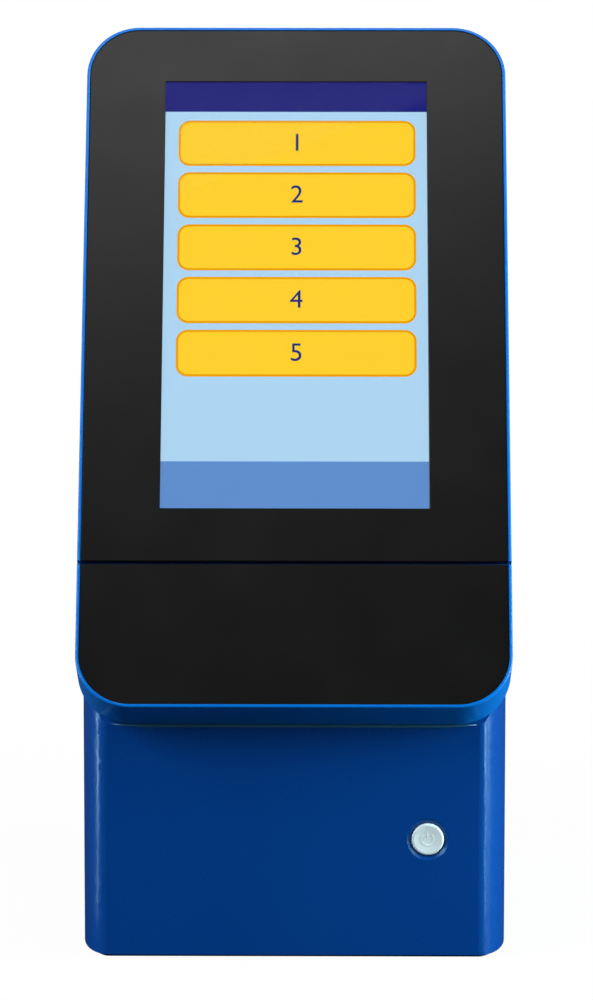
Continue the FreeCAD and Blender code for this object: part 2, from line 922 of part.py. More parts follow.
def make_base_plate():
    inset = d.wall + d.fit_gap
    block = housing_block(inset, 0)
    layer = box(-body_half, body_half, front_y, rear_y,
                d.plate_foot, floor_z)
    posts = []
    bores = []
    for x, y in board_corners():
        posts.append(rod("z", (x, y), d.board_post_radius, floor_z - past, d.main_board_bottom))
        bores.append(rod("z", (x, y), d.screw_radius, floor_z, d.main_board_bottom + past))
    for x, y in foot_places():
        bores.append(rod("z", (x, y), d.foot_radius, 0, d.plate_foot + d.foot_recess))
    for side in (-1, 1):
        for y in (boss_front, boss_rear):
            spot = (side * boss_x, y)
            bores.append(rod("z", spot, d.screw_radius + d.screw_gap, 0, floor_z + past))
            bores.append(rod("z", spot, d.screw_head_radius + d.screw_gap,
                             0, d.plate_foot + d.screw_head_height))
    slot_count = int(round(d.grille_slots.number))
    for index in range(slot_count):
        slot_y = speaker_y + (index - slot_count / 2) * d.grille_pitch + d.grille_pitch / 2
        bores.append(box(speaker_x - d.grille_half, speaker_x + d.grille_half,
                         slot_y - d.grille_slot_half, slot_y + d.grille_slot_half,
                         0, floor_z + past))
    keep("base_plate", cut(fuse(common(block, layer), *posts), *bores))


def foot_places():
    return [(side * foot_x, y) for side in (-1, 1) for y in (foot_front, foot_rear)]


def board_corners():
    rows = (main_board_front + d.board_hole_inset, main_board_rear - d.board_hole_rear_gap)
    return [(side * (main_board_half - d.board_hole_inset), y) for side in (-1, 1)
            for y in rows]


def make_feet():
    feet = []
    for x, y in foot_places():
        top = d.plate_foot + d.foot_recess
        shoulder = d.foot_radius - d.foot_shoulder
        feet.append(fuse(
            cone("z", (x, y), shoulder - d.foot_taper, shoulder, 0, d.plate_foot),
            rod("z", (x, y), d.foot_radius - d.foot_gap, d.plate_foot, top),
        ))
    keep("feet", gather(feet))


# Leaning head

def head_plate(inset, low, high, front, back, square_low=False, square_high=False, soft=False):
    """A flat plate in head coordinates, its free corners rounded like the head.

    A soft plate also has its front edge rounded, except along a square end.
    """
    body = new_body()
    sketch = new_sketch(body, "XY_Plane", back)
    half = head_half - inset
    draw_box(sketch, -half, half, low, high)
    plate = pad(body, sketch, amount(front) - back)
    middle = (amount(low).number + amount(high).number) / 2

    def free_corner(edge):
        if not runs_along(edge, 2):
            return False
        upper = edge.Vertexes[0].Y > middle
        return not ((upper and square_high) or (not upper and square_low))

    rounded = round_edges(body, plate, d.head_corner - inset, free_corner)
    if soft:
        square_end = amount(low).number if square_low else amount(high).number
        front_z = amount(front).number
        round_edges(body, rounded, d.edge_round, lambda edge: (
            edge.BoundBox.ZMin > front_z - 1e-3
            and not (runs_along(edge, 0) and abs(edge.Vertexes[0].Y - square_end) < 1e-3)
        ))
    return body


def window_box(margin, low_z, high_z):
    half = d.window_width / 2 + margin
    return box(-half, half, d.window_start - margin, d.window_start + window_length + margin,
               low_z, high_z)


panel_front = -d.rim_proud
panel_back = panel_front - d.panel_thickness
cavity_back = -d.head_thickness + d.head_back


def make_head_frame():
    outer = head_plate(0, seam_high, head_length, 0, -d.head_thickness,
                       square_low=True, soft=True)
    rebate = head_plate(d.rim, seam_high - past, head_length - d.rim, past, panel_back,
                        square_low=True)
    cavity = head_plate(d.head_wall, seam_high + d.head_wall, head_length - d.head_wall,
                        panel_back + past, cavity_back, square_low=True)
    posts = []
    bores = []
    for x, s in display_posts():
        post_top = cavity_back + d.display_post
        posts.append(rod("z", (x, s), d.display_post_radius, cavity_back - past, post_top))
        bores.append(rod("z", (x, s), d.display_screw_radius, cavity_back, post_top + past))
    for x, s in head_screw_places():
        post_top = cavity_back + d.head_boss_height
        posts.append(rod("z", (x, s), d.head_boss_radius, cavity_back - past, post_top))
        bores.append(rod("z", (x, s), d.screw_radius, -d.head_thickness - past,
                         post_top - 2 * past))
    cable = box(-d.cable_half, d.cable_half, cable_low, cable_high,
                -d.head_thickness - past, cavity_back + past)
    frame = cut(fuse(cut(outer, rebate, cavity), *posts), cable, *bores)
    keep("head_frame", lean(frame))


def display_posts():
    return [(sx * d.display_post_x, display_middle + sy * d.display_post_rise)
            for sx in (-1, 1) for sy in (-1, 1)]


def head_screw_places():
    return [(side * head_screw_x, s) for side in (-1, 1)
            for s in (seam_high + d.head_screw_low, head_length - d.head_screw_high)]


def make_front_panel():
    inset = d.rim + d.panel_gap
    sheet_body = head_plate(inset, seam_high, head_length - inset,
                            panel_front, panel_back, square_low=True)
    opening = window_box(0, panel_back - past, panel_front + past)
    seat = window_box(d.glass_margin, panel_back - past, panel_front - d.window_lip)
    keep("front_panel", lean(cut(sheet_body, opening, seat)))


# Parts on a board: where each starts and ends both ways, and its height

display_chips = (
    (-14, 4, -8, 10, 1.6),
    (14, 26, -24, -16, 1.2),
    (-34, -14, 26, 31, 2.4),
)
main_chips = (
    (-12, 6, 12, 30, 2.0),
    (14, 30, 12, 22, 1.6),
    (-38, -26, 10, 38, 8.0),
)


def chips_on(table, x, y, z):
    return [box(x + a, x + b, y + low, y + high, z, z + height)
            for a, b, low, high, height in table]


def window_plate(margin, back, thickness):
    """A plate as large as the window and a margin all round, with eased corners."""
    body = new_body()
    sketch = new_sketch(body, "XY_Plane", back)
    half = d.window_width / 2 + margin
    draw_box(sketch, -half, half, d.window_start - margin,
             d.window_start + window_length + margin)
    slab = pad(body, sketch, thickness)
    round_edges(body, slab, d.glass_corner, lambda edge: runs_along(edge, 2))
    return body


def make_screen():
    glass_back = panel_front - d.window_lip - d.glass_thickness
    seat_margin = d.glass_margin - d.glass_gap
    keep("touch_glass", lean(window_plate(seat_margin, glass_back, d.glass_thickness)))
    case = window_plate(d.display_margin, panel_back - d.display_thickness,
                        d.display_thickness)
    cell_low = panel_back - d.display_thickness / 2
    cell = window_plate(seat_margin, cell_low, glass_back - cell_low)
    keep("lcd_module", lean(fuse(case, cell)))
    board_back = cavity_back + d.display_post
    board_front = board_back + d.board_thickness
    board = box(-d.display_board_half, d.display_board_half,
                display_middle - d.display_board_rise, display_middle + d.display_board_rise,
                board_back, board_front)
    chips = chips_on(display_chips, 0, display_middle, board_front)
    screws = [rod("z", (x, s), d.display_screw_radius + d.fit_gap / 3,
                  board_back - past, board_front + past) for x, s in display_posts()]
    keep("display_board", lean(cut(fuse(board, *chips), *screws)))


# Drawer

def make_drawer_front():
    back = -d.head_thickness + d.drawer_gap
    outer = head_plate(0, 0, seam_low, 0, back, square_high=True, soft=True)
    rebate = head_plate(d.rim, d.rim, seam_low + past, past, panel_back, square_high=True)
    cavity = head_plate(d.head_wall, d.head_wall, seam_low - d.head_wall,
                        panel_back + past, back + d.head_back, square_high=True)
    ribs = []
    for step in (-1, 0, 1):
        x = step * d.front_rib_pitch
        ribs.append(box(x - d.front_rib_half, x + d.front_rib_half,
                        d.head_wall - past, seam_low - d.head_wall + past,
                        back + d.head_back - past, panel_back))
    keep("drawer_front", lean(cut(fuse(cut(outer, cavity), *ribs), rebate)))
    inset = d.rim + d.panel_gap
    face = head_plate(inset, inset, seam_low, panel_front, panel_back, square_high=True)
    keep("drawer_face", lean(face))


def make_drawer_tray():
    start = body_front
    plate = box(-tray_outer, tray_outer, start, tray_plate_rear, tray_bottom, tray_top)
    solids = [plate]
    for side in (-1, 1):
        def across(a, b):
            return (a, b) if side > 0 else (-amount(b), -amount(a))
        solids.append(box(*across(tray_outer - d.arm_width, tray_outer),
                          start, tray_rear, tray_bottom, tray_top))
        solids.append(box(*across(tray_half, tray_outer),
                          start, tray_rear, tray_side_bottom, tray_top))
        solids.append(box(*across(tray_half + past, tray_outer + d.tongue_reach),
                          rail_front - d.tongue_lead, tray_rear,
                          tongue_bottom, tongue_bottom + d.tongue_height))
    flag_front = sensor_front + d.flag_setback
    solids.append(box(-tray_outer - d.flag_reach, -tray_half - past,
                      flag_front, flag_front + d.flag_length, flag_bottom, flag_top))
    nest_floor = tray_top - d.nest_depth
    tools = [
        rod("z", (0, nest_y), nest_radius, nest_floor, tray_top + past),
        rod("z", (0, nest_y), d.hub_hole_radius, tray_bottom - past, nest_floor + past),
        rod("z", (0, beam_y), d.beam_hole_radius, tray_bottom - past, nest_floor + past),
    ]
    for side in (-1, 1):
        tools.append(rod("z", (side * (nest_radius - d.finger_inset), nest_y),
                         d.finger_radius / 2, nest_floor, tray_top + past))
    envelope = lean(gather([box(-head_half, head_half, -head_half, head_half,
                                -d.head_thickness + d.drawer_gap, head_half)]))
    keep("drawer_tray", cut(fuse(*solids), envelope, *tools))


def rack_shape():
    """Straight teeth along the tray's right arm, one of them centred on the pinion."""
    module = d.gear_module.number
    pitch = math.pi * module
    slack = d.gear_slack.number
    root = tray_outer.number
    tip = rack_line.number + module
    flank = math.tan(math.radians(d.pressure_angle.number))
    half = pitch / 4 - slack / 2
    bottom = gear_bottom.number
    back = tray_outer.number
    first = -int(round(d.rack_lead_teeth.number))
    room = tray_rear.number - pinion_y.number - d.rack_end_gap.number
    last = int(room / pitch)
    points = [(back, pinion_y.number + (first - 0.5) * pitch)]
    for tooth in range(first, last + 1):
        y = pinion_y.number + tooth * pitch
        wide = half + d.tooth_root.number * module * flank
        thin = half - module * flank
        points += [(root + 0.001, y - wide), (tip, y - thin), (tip, y + thin),
                   (root + 0.001, y + wide)]
    points.append((back, pinion_y.number + (last + 0.5) * pitch))
    vectors = [FreeCAD.Vector(x, y, bottom) for x, y in points]
    vectors.append(vectors[0])
    face = Part.Face(Part.makePolygon(vectors))
    return face.extrude(FreeCAD.Vector(0, 0, d.gear_height.number))


def pinion_shape():
    """Involute pinion with a tooth gap facing the rack, a hub and a shaft bore."""
    module = d.gear_module.number
    count = int(teeth.number)
    pitch_r = pitch_radius.number
    base_r = pitch_r * math.cos(math.radians(d.pressure_angle.number))
    tip_r = pitch_r + module
    root_r = pitch_r - d.tooth_root.number * module
    slack_angle = d.gear_slack.number / 2 / pitch_r

    def involute_angle(radius):
        roll = math.sqrt(max((radius / base_r) ** 2 - 1, 0))
        return roll - math.atan(roll)

    at_pitch = involute_angle(pitch_r)
    half = math.pi / 2 / count - slack_angle
    radii = [max(base_r, root_r) + (tip_r - max(base_r, root_r)) * k / 3 for k in range(4)]
    vectors = []
    for tooth in range(count):
        centre = math.pi + math.pi / count + tooth * 2 * math.pi / count
        flank = [(root_r, half + at_pitch)]
        flank += [(r, half + at_pitch - involute_angle(r)) for r in radii]
        for radius, angle in flank:
            vectors.append(polar(radius, centre - angle))
        for radius, angle in reversed(flank):
            vectors.append(polar(radius, centre + angle))
    vectors.append(vectors[0])
    disc = Part.Face(Part.makePolygon(vectors)).extrude(
        FreeCAD.Vector(0, 0, d.gear_height.number))
    length = gear_bottom.number - deck_top.number - d.pinion_sleeve_lift.number
    sleeve = Part.makeCylinder(d.pinion_sleeve_radius.number, length,
                               FreeCAD.Vector(0, 0, -length))
    return disc.fuse(sleeve)


def polar(radius, angle):
    return FreeCAD.Vector(radius * math.cos(angle), radius * math.sin(angle), 0)


def make_drawer_drive():
    rack = doc.addObject("Part::Feature", "rack")
    rack.Shape = rack_shape()
    keep("drawer_rack", rack)
    pinion = doc.addObject("Part::Feature", "pinion")
    pinion.Shape = pinion_shape()
    place(pinion, pinion_x, pinion_y, gear_bottom)
    top = deck_top - d.deck_thickness
    shaft_low = top - d.drive_shaft_depth
    shaft_top = gear_bottom + d.gear_height - past
    shaft = rod("z", (pinion_x, pinion_y), d.drive_shaft_radius, shaft_low, shaft_top)
    keep("drawer_pinion", fuse(pinion, shaft))
    can_low = top - d.drive_motor_length
    can = rod("z", (pinion_x, pinion_y), d.drive_motor_radius, can_low, top)
    collar_top = top + d.drive_collar_height
    collar = rod("z", (pinion_x, pinion_y), d.pinion_sleeve_radius, top - past, collar_top)
    bore = rod("z", (pinion_x, pinion_y), d.drive_shaft_radius + d.running_gap,
               shaft_low - d.running_gap * 2, collar_top + past)
    tail = rod("z", (pinion_x, pinion_y), d.drive_tail_radius,
               can_low - d.drive_tail_length, can_low + past)
    keep("drawer_motor", cut(fuse(can, collar, tail), bore))


# Deck and rails

def make_deck():
    low = deck_top - d.deck_thickness
    solids = [box(-deck_half, deck_half, deck_front, deck_rear, low, deck_top)]
    for side in (-1, 1):
        inner = side * (deck_half - d.deck_thickness)
        outer = side * deck_half
        ends = (inner, outer) if side > 0 else (outer, inner)
        solids.append(box(*ends, nest_y - d.deck_side_ahead, deck_rear, floor_z, deck_top))
    solids.append(box(-d.deck_leg_half, d.deck_leg_half,
                      deck_front, deck_front + d.deck_thickness, floor_z, deck_top))
    window_rear = deck_rear - d.deck_window_rear_gap
    window_top = low - d.deck_window_drop
    slot_half = deck_half - d.deck_slot_side_gap
    through_deck = (low - past, deck_top + past)
    tools = [
        rod("z", (0, nest_y), d.deck_hole_radius, *through_deck),
        rod("z", (pinion_x, pinion_y), d.pinion_sleeve_radius + d.fit_gap, *through_deck),
        box(-deck_half - past, deck_half + past, nest_y + d.deck_window_behind, window_rear,
            floor_z + d.deck_window_foot, window_top),
        box(-d.leg_window_half, d.leg_window_half,
            deck_front - past, deck_front + d.deck_thickness + past,
            floor_z + d.leg_window_foot, window_top),
        box(-slot_half, slot_half, window_rear, deck_rear - d.deck_slot_rear_gap,
            *through_deck),
    ]
    keep("chassis_deck", cut(fuse(*solids), *tools))
    for name, side in (("left_rail", -1), ("right_rail", 1)):
        near = tray_outer + d.fit_gap
        far = near + d.rail_width
        ends = (near, far) if side > 0 else (-far, -near)
        groove_far = tray_outer + d.tongue_reach + d.fit_gap
        groove = (near - past, groove_far) if side > 0 else (-groove_far, -near + past)
        bar = box(*ends, rail_front, tray_rear, deck_top, rail_top)
        channel = box(*groove, rail_front - past, tray_rear + past,
                      tongue_bottom - d.fit_gap,
                      tongue_bottom + d.tongue_height + d.fit_gap)
        keep(name, cut(bar, channel))
    side = -tray_outer - d.sensor_reach
    far = side + d.sensor_width
    span = (sensor_front, sensor_front + d.sensor_length)
    sensor_top = flag_bottom + d.sensor_height
    keep("drawer_sensor", fuse(
        box(side, far, *span, deck_top, flag_bottom - d.sensor_gap),
        box(side, far, *span, flag_top + d.sensor_gap, sensor_top),
        box(side, side + d.sensor_back, *span, deck_top, sensor_top)))


# Spindle

def make_spindle():
    low = deck_top - d.deck_thickness
    posts = [rod("z", (side * d.post_spread, nest_y), d.post_radius, floor_z, low)
             for side in (-1, 1)]
    keep("guide_posts", gather(posts))
    plate_half = d.post_spread + d.carriage_margin
    plate = box(-plate_half, plate_half, nest_y - d.carriage_half, nest_y + d.carriage_half,
                carriage_bottom, carriage_top)
    bushes = []
    bores = []
    for side in (-1, 1):
        x = side * d.post_spread
        bush_low = carriage_bottom - d.bush_drop
        bush_high = carriage_top + d.bush_rise
        bushes.append(rod("z", (x, nest_y), d.post_radius + d.bush_wall, bush_low, bush_high))
        bores.append(rod("z", (x, nest_y), d.post_radius + d.running_gap,
                         bush_low - past, bush_high + past))
    keep("motor_carriage", cut(fuse(plate, *bushes), *bores))
    can = rod("z", (0, nest_y), d.spindle_motor_radius, carriage_top, spindle_motor_top)
    nose_top = spindle_motor_top + d.spindle_nose_height
    nose = rod("z", (0, nest_y), d.spindle_nose_radius, spindle_motor_top - past, nose_top)
    bore_low = spindle_motor_top - d.spindle_shaft_depth
    bore = rod("z", (0, nest_y), d.spindle_shaft_radius + d.running_gap,
               bore_low, nose_top + past)
    keep("spindle_motor", cut(fuse(can, nose), bore))
    shaft_top = hub_top - d.shaft_cover
    keep("spindle_shaft", rod("z", (0, nest_y), d.spindle_shaft_radius,
                              bore_low + d.fit_gap, shaft_top))
    make_hub(shaft_top)
    body_top = floor_z + d.actuator_height
    collar_top = body_top + d.actuator_collar_height
    bore = rod("z", (0, nest_y), d.plunger_radius + d.running_gap,
               floor_z + d.plunger_well, collar_top + past)
    keep("lift_actuator", cut(
        fuse(box(-d.actuator_half, d.actuator_half, nest_y - d.actuator_half,
                 nest_y + d.actuator_half, floor_z, body_top),
             rod("z", (0, nest_y), d.actuator_collar_radius, body_top - past, collar_top)),
        bore))
    keep("lift_plunger", rod("z", (0, nest_y), d.plunger_radius,
                             floor_z + d.plunger_lift, carriage_bottom))


def turned_body(outline):
    """A body turned about Z from its outline in radii and heights."""
    body = new_body()
    sketch = new_sketch(body, "XZ_Plane")
    draw_outline(sketch, outline)
    turned = body.newObject("PartDesign::Revolution", "turned")
    turned.Profile = sketch
    turned.ReferenceAxis = (sketch, ["V_Axis"])
    turned.Angle = 360
    doc.recompute()
    return body


def make_hub(shaft_top):
    """Turned spindle hub: sleeve, flange and a crown of drive teeth."""
    sleeve_low = spindle_motor_top + d.spindle_nose_height + d.drawer_gap * 2
    flange_low = hub_top - d.hub_flange_drop
    flange_top = hub_top - d.hub_crown
    body = turned_body([
        (0, shaft_top), (d.spindle_shaft_radius, shaft_top),
        (d.spindle_shaft_radius, sleeve_low), (d.hub_sleeve_radius, sleeve_low),
        (d.hub_sleeve_radius, flange_low - d.hub_neck), (d.hub_radius, flange_low),
        (d.hub_radius, flange_top), (d.hub_crown_foot, flange_top),
        (d.hub_crown_top, hub_top), (0, hub_top),
    ])
    crown = []
    count = int(round(d.hub_teeth.number))
    for index in range(count):
        tooth = box(d.hub_tooth_start, d.hub_tooth_end, -d.hub_tooth_half, d.hub_tooth_half,
                    -past, d.hub_tooth_height)
        turn = FreeCAD.Rotation(FreeCAD.Vector(0, 0, 1), index * 360 / count)
        group = gather([tooth])
        group.Placement = FreeCAD.Placement(FreeCAD.Vector(), turn)
        bind(group, "Placement.Base.z", flange_top)
        crown.append(group)
    hub = fuse(body, *crown)
    place(hub, 0, nest_y, 0)
    keep("spindle_hub", hub)


# Chamber

def standoff_places():
    return [(side * standoff_x, y) for side in (-1, 1)
            for y in (standoff_front, standoff_rear)]


def make_chamber():
    top = heater_bottom + d.heater_thickness
    plate = box(-heater_half, heater_half, heater_front, heater_rear,
                heater_bottom, top)
    through = (heater_bottom - past, top + past)
    holes = [rod("z", (0, beam_y), d.lens_flange_radius + d.fit_gap, *through),
             box(d.reader_x - d.reader_window_half, d.reader_x + d.reader_window_half,
                 nest_y - d.reader_window_deep, nest_y + d.reader_window_deep, *through)]
    for x, y in standoff_places():
        holes.append(rod("z", (x, y), d.screw_radius, *through))
    keep("heater_plate", cut(plate, *holes))
    pillars = [rod("z", (x, y), d.standoff_radius, deck_top, heater_bottom)
               for x, y in standoff_places()]
    keep("chamber_standoffs", gather(pillars))
    lamp_front = beam_y - d.lamp_front_gap
    lamp = box(-d.lamp_half, d.lamp_half, lamp_front, lamp_front + d.lamp_length,
               top, top + d.lamp_height)
    fins = []
    for step in range(5):
        fin_y = beam_y + d.fin_start + step * d.fin_pitch
        fins.append(box(-d.lamp_half - d.foot_gap, d.lamp_half + d.foot_gap,
                        fin_y, fin_y + d.fin_pitch / 2, top + d.fin_foot, top + d.fin_top))
    lens_top = top + d.lens_rise
    bore = rod("z", (0, beam_y), d.lens_bore_radius, top - past, lens_top + 2 * past)
    keep("flash_lamp", cut(fuse(lamp, *fins), bore))
    barrel = rod("z", (0, beam_y), d.lens_bore_radius - d.running_gap,
                 heater_bottom - past, lens_top)
    flange = rod("z", (0, beam_y), d.lens_flange_radius, heater_bottom - d.lens_flange_drop, top)
    hollow = rod("z", (0, beam_y), d.lens_clear_radius, top, lens_top + past)
    keep("lens_barrel", cut(fuse(barrel, flange), hollow))
    meter_top = deck_top + d.meter_height
    meter = box(-d.meter_half, d.meter_half, lamp_front, beam_y + d.meter_rear,
                deck_top, meter_top)
    well = rod("z", (0, beam_y), d.meter_well_radius, deck_top + d.meter_well_foot,
               meter_top + past)
    keep("photometer", cut(meter, well))
    reader = fuse(
        box(d.reader_x - d.reader_half, d.reader_x + d.reader_half,
            nest_y - d.reader_deep, nest_y + d.reader_deep, top, top + d.reader_height),
        box(d.reader_x - d.reader_nose_half, d.reader_x + d.reader_nose_half,
            nest_y - d.reader_nose_deep, nest_y + d.reader_nose_deep,
            heater_bottom + d.fit_gap, top + past),
    )
    eye = rod("z", (d.reader_x, nest_y), d.reader_eye_radius, heater_bottom - past, top)
    keep("code_reader", cut(reader, eye))


# Power button

def make_power_button():
    proud = d.button_proud
    flange_front = d.dish_wall_depth + d.button_gap
    flange_rear = flange_front + d.button_flange
    stem_end = flange_rear + d.button_stem_length
    lip = d.button_radius + d.button_lip
    button = gather([turned_body([
        (0, d.button_dip - proud), (d.button_radius - 2 * d.button_soft, -proud),
        (d.button_radius - d.button_soft, -proud), (d.button_radius, d.button_soft - proud),
        (d.button_radius, flange_front), (lip, flange_front), (lip, flange_rear),
        (d.button_stem, flange_rear), (d.button_stem, stem_end), (0, stem_end),
    ])])
    button.Placement = FreeCAD.Placement(FreeCAD.Vector(), TURNS["y"])
    place(button, button_x, body_front, d.button_z)
    keep("power_button", button)
    switch_front = body_front + stem_end + d.button_travel + d.fit_gap
    board_y = switch_front + past + d.switch_depth
    switch = fuse(
        box(button_x - d.switch_half, button_x + d.switch_half, switch_front + past, board_y,
            d.button_z - d.switch_half, d.button_z + d.switch_half),
        rod("y", (button_x, d.button_z), d.switch_plunger_radius,
            switch_front, switch_front + 2 * past),
    )
    keep("button_switch", switch)
    margin = d.button_board_margin
    keep("button_board", box(button_x - margin, button_x + margin, board_y,
                             board_y + d.board_thickness, floor_z, d.button_z + margin))


# Electronics

def make_electronics():
    x = main_board_half
    board = box(-x, x, main_board_front, main_board_rear, d.main_board_bottom, socket_floor)
    chips = chips_on(main_chips, 0, main_board_front, socket_floor)
    for inset in (d.capacitor_inset, d.capacitor_inset + d.capacitor_pitch):
        chips.append(rod("z", (x - inset, main_board_front + d.capacitor_setback),
                         d.capacitor_radius, socket_floor, socket_floor + d.capacitor_height))
    holes = [rod("z", corner, d.screw_radius, d.main_board_bottom - past, socket_floor + past)
             for corner in board_corners()]
    keep("main_board", cut(fuse(board, *chips), *holes))
    mouth = rear_y - d.socket_setback
    for name, (centre, width, height) in sockets.items():
        low, high = centre - width / 2, centre + width / 2
        block = box(low, high, mouth - d.socket_depth, mouth,
                    socket_floor, socket_floor + height)
        inside = (mouth - d.plug_depth, mouth + past)
        if name == "ethernet_socket":
            plug_low = socket_floor + d.ethernet_wall
            plug_high = plug_low + d.ethernet_plug_height
            cavity = [box(centre - d.ethernet_plug_half, centre + d.ethernet_plug_half, *inside,
                          plug_low, plug_high),
                      box(centre - d.latch_half, centre + d.latch_half, *inside,
                          plug_high - past / 2, plug_high + d.latch_rise)]
            keep(name, cut(block, *cavity))
        elif name == "usb_sockets":
            cavity = []
            tongues = []
            for step in (0, 1):
                z = socket_floor + d.usb_wall + step * d.usb_pitch
                tongue_low = z + d.usb_tongue_lift
                cavity.append(box(centre - d.usb_plug_half, centre + d.usb_plug_half, *inside,
                                  z, z + d.usb_plug_height))
                tongues.append(box(centre - d.usb_tongue_half, centre + d.usb_tongue_half,
                                   mouth - d.plug_depth - past, mouth - past,
                                   tongue_low, tongue_low + d.usb_tongue_height))
            keep(name, fuse(cut(block, *cavity), *tongues))
        else:
            z = socket_floor + height / 2
            hole_end = mouth - d.inlet_depth
            hole = rod("y", (centre, z), d.inlet_bore_radius, hole_end, mouth + past)
            pin = rod("y", (centre, z), d.inlet_pin_radius, hole_end - past, mouth - past)
            keep(name, fuse(cut(block, hole), pin))
    keep("speaker", fuse(
        rod("z", (speaker_x, speaker_y), d.speaker_radius, floor_z, floor_z + d.speaker_rim),
        rod("z", (speaker_x, speaker_y), d.speaker_magnet_radius,
            floor_z + past, floor_z + d.speaker_height)))


# Fan

fan_rear = rear_y - d.wall
fan_front = fan_rear - d.fan_depth


def fan_hole_places():
    return [(sx * d.fan_hole_place, d.fan_z + sz * d.fan_hole_place)
            for sx in (-1, 1) for sz in (-1, 1)]


def make_fan():
    frame = box(-d.fan_half, d.fan_half, fan_front, fan_rear,
                d.fan_z - d.fan_half, d.fan_z + d.fan_half)
    through = (fan_front - past, fan_rear + past)
    bore = rod("y", (0, d.fan_z), d.fan_bore, *through)
    boss_front_y = fan_rear - d.fan_strut_depth - past
    boss = rod("y", (0, d.fan_z), d.fan_hub - 2 * past, boss_front_y, fan_rear)
    struts = []
    for index in range(4):
        group = gather([box(d.fan_hub / 2, d.fan_bore + past, -d.fan_strut_half,
                            d.fan_strut_half, 0, d.fan_strut_depth)])
        spin = FreeCAD.Rotation(FreeCAD.Vector(0, 0, 1), 45 + index * 90)
        group.Placement = FreeCAD.Placement(
            FreeCAD.Vector(), FreeCAD.Rotation(FreeCAD.Vector(1, 0, 0), 90) * spin)
        place(group, 0, fan_rear, d.fan_z)
        struts.append(group)
    axle = rod("y", (0, d.fan_z), d.fan_axle_radius, fan_rear - d.fan_axle_depth,
               fan_rear - past)
    holes = [rod("y", spot, d.fan_hole_radius, *through) for spot in fan_hole_places()]
    keep("fan_frame", cut(fuse(cut(frame, bore), boss, axle, *struts), *holes))
    rotor = doc.addObject("Part::Feature", "rotor")
    rotor.Shape = rotor_shape()
    place(rotor, 0, fan_front, d.fan_z)
    keep("fan_rotor", rotor)


def rotor_shape():
    """Fan hub with pitched blades, turning on the frame's axle."""
    hub_radius = d.fan_hub.number
    gap = d.fan_end_gap.number
    boss_depth = d.fan_strut_depth.number + past.number
    depth = d.fan_depth.number - boss_depth - gap
    tip = d.fan_bore.number - gap
    along = FreeCAD.Vector(0, 1, 0)
    hub = Part.makeCylinder(hub_radius, depth - gap, FreeCAD.Vector(0, gap, 0), along)
    shape = hub
    count = int(round(d.blade_count.number))
    for index in range(count):
        thickness = d.blade_thickness.number
        width = d.blade_width.number
        blade = Part.makeBox(tip, thickness, width,
                             FreeCAD.Vector(hub_radius - thickness, -thickness / 2, -width / 2))
        blade.rotate(FreeCAD.Vector(), FreeCAD.Vector(1, 0, 0), d.blade_pitch_angle.number)
        blade.translate(FreeCAD.Vector(0, depth / 2 + gap / 2, 0))
        blade.rotate(FreeCAD.Vector(), along, index * 360.0 / count)
        shape = shape.fuse(blade)
    envelope = Part.makeCylinder(tip, depth - gap, FreeCAD.Vector(0, gap, 0), along)
    shape = shape.common(envelope)
    axle_start = d.fan_depth.number - d.fan_axle_depth.number - gap
    bore = Part.makeCylinder(d.fan_axle_radius.number + d.running_gap.number, depth,
                             FreeCAD.Vector(0, axle_start, 0), along)
    return shape.cut(bore)


# Printer

def make_printer():
    door_cut = box(-d.door_half, d.door_half, door_front, rear_y + past,
                   door_hinge_z + d.drawer_gap, d.overall_height)
    skin = cut(housing_block(0, d.shell_foot), housing_block(d.wall, d.shell_foot - past))
    arms = []
    for a, b in ((-d.door_arm_outer, -d.door_arm_inner), (d.door_arm_inner, d.door_arm_outer)):
        arms.append(box(a, b, platen_y - d.door_arm_ahead, platen_y + d.door_arm_behind,
                        platen_z - d.door_arm_drop, platen_z + d.door_arm_rise))
    inner_trim = common(fuse(*arms), housing_block(d.wall / 2, d.shell_foot))
    slot = box(-d.paper_slot_half, d.paper_slot_half,
               door_front - past, door_front + d.paper_slot_depth, platen_z, d.overall_height)
    platen_bore = rod("x", (platen_y, platen_z), d.platen_axle_radius + d.running_gap,
                      -d.door_half, d.door_half)
    panel = fuse(common(skin, door_cut), inner_trim, *hinge_knuckles(door_knuckles))
    pin_bore = rod("x", (hinge_y, door_hinge_z), d.hinge_pin_radius + d.running_gap,
                   -d.knuckle_near, d.knuckle_near)
    keep("printer_door", cut(panel, *hinge_room(shell_knuckles), slot, platen_bore, pin_bore))
    keep("door_hinge_pin", rod("x", (hinge_y, door_hinge_z), d.hinge_pin_radius,
                               -d.knuckle_far, d.knuckle_far))
    keep("platen_roller", fuse(
        rod("x", (platen_y, platen_z), d.platen_radius, -d.platen_half, d.platen_half),
        rod("x", (platen_y, platen_z), d.platen_axle_radius,
            -d.door_arm_outer, d.door_arm_outer)))
    roll = cut(
        rod("x", (roll_y, roll_z), roll_radius, -d.roll_half, d.roll_half),
        rod("x", (roll_y, roll_z), roll_radius / 3, -d.roll_half - past, d.roll_half + past))
    keep("paper_roll", roll)
    make_bucket()


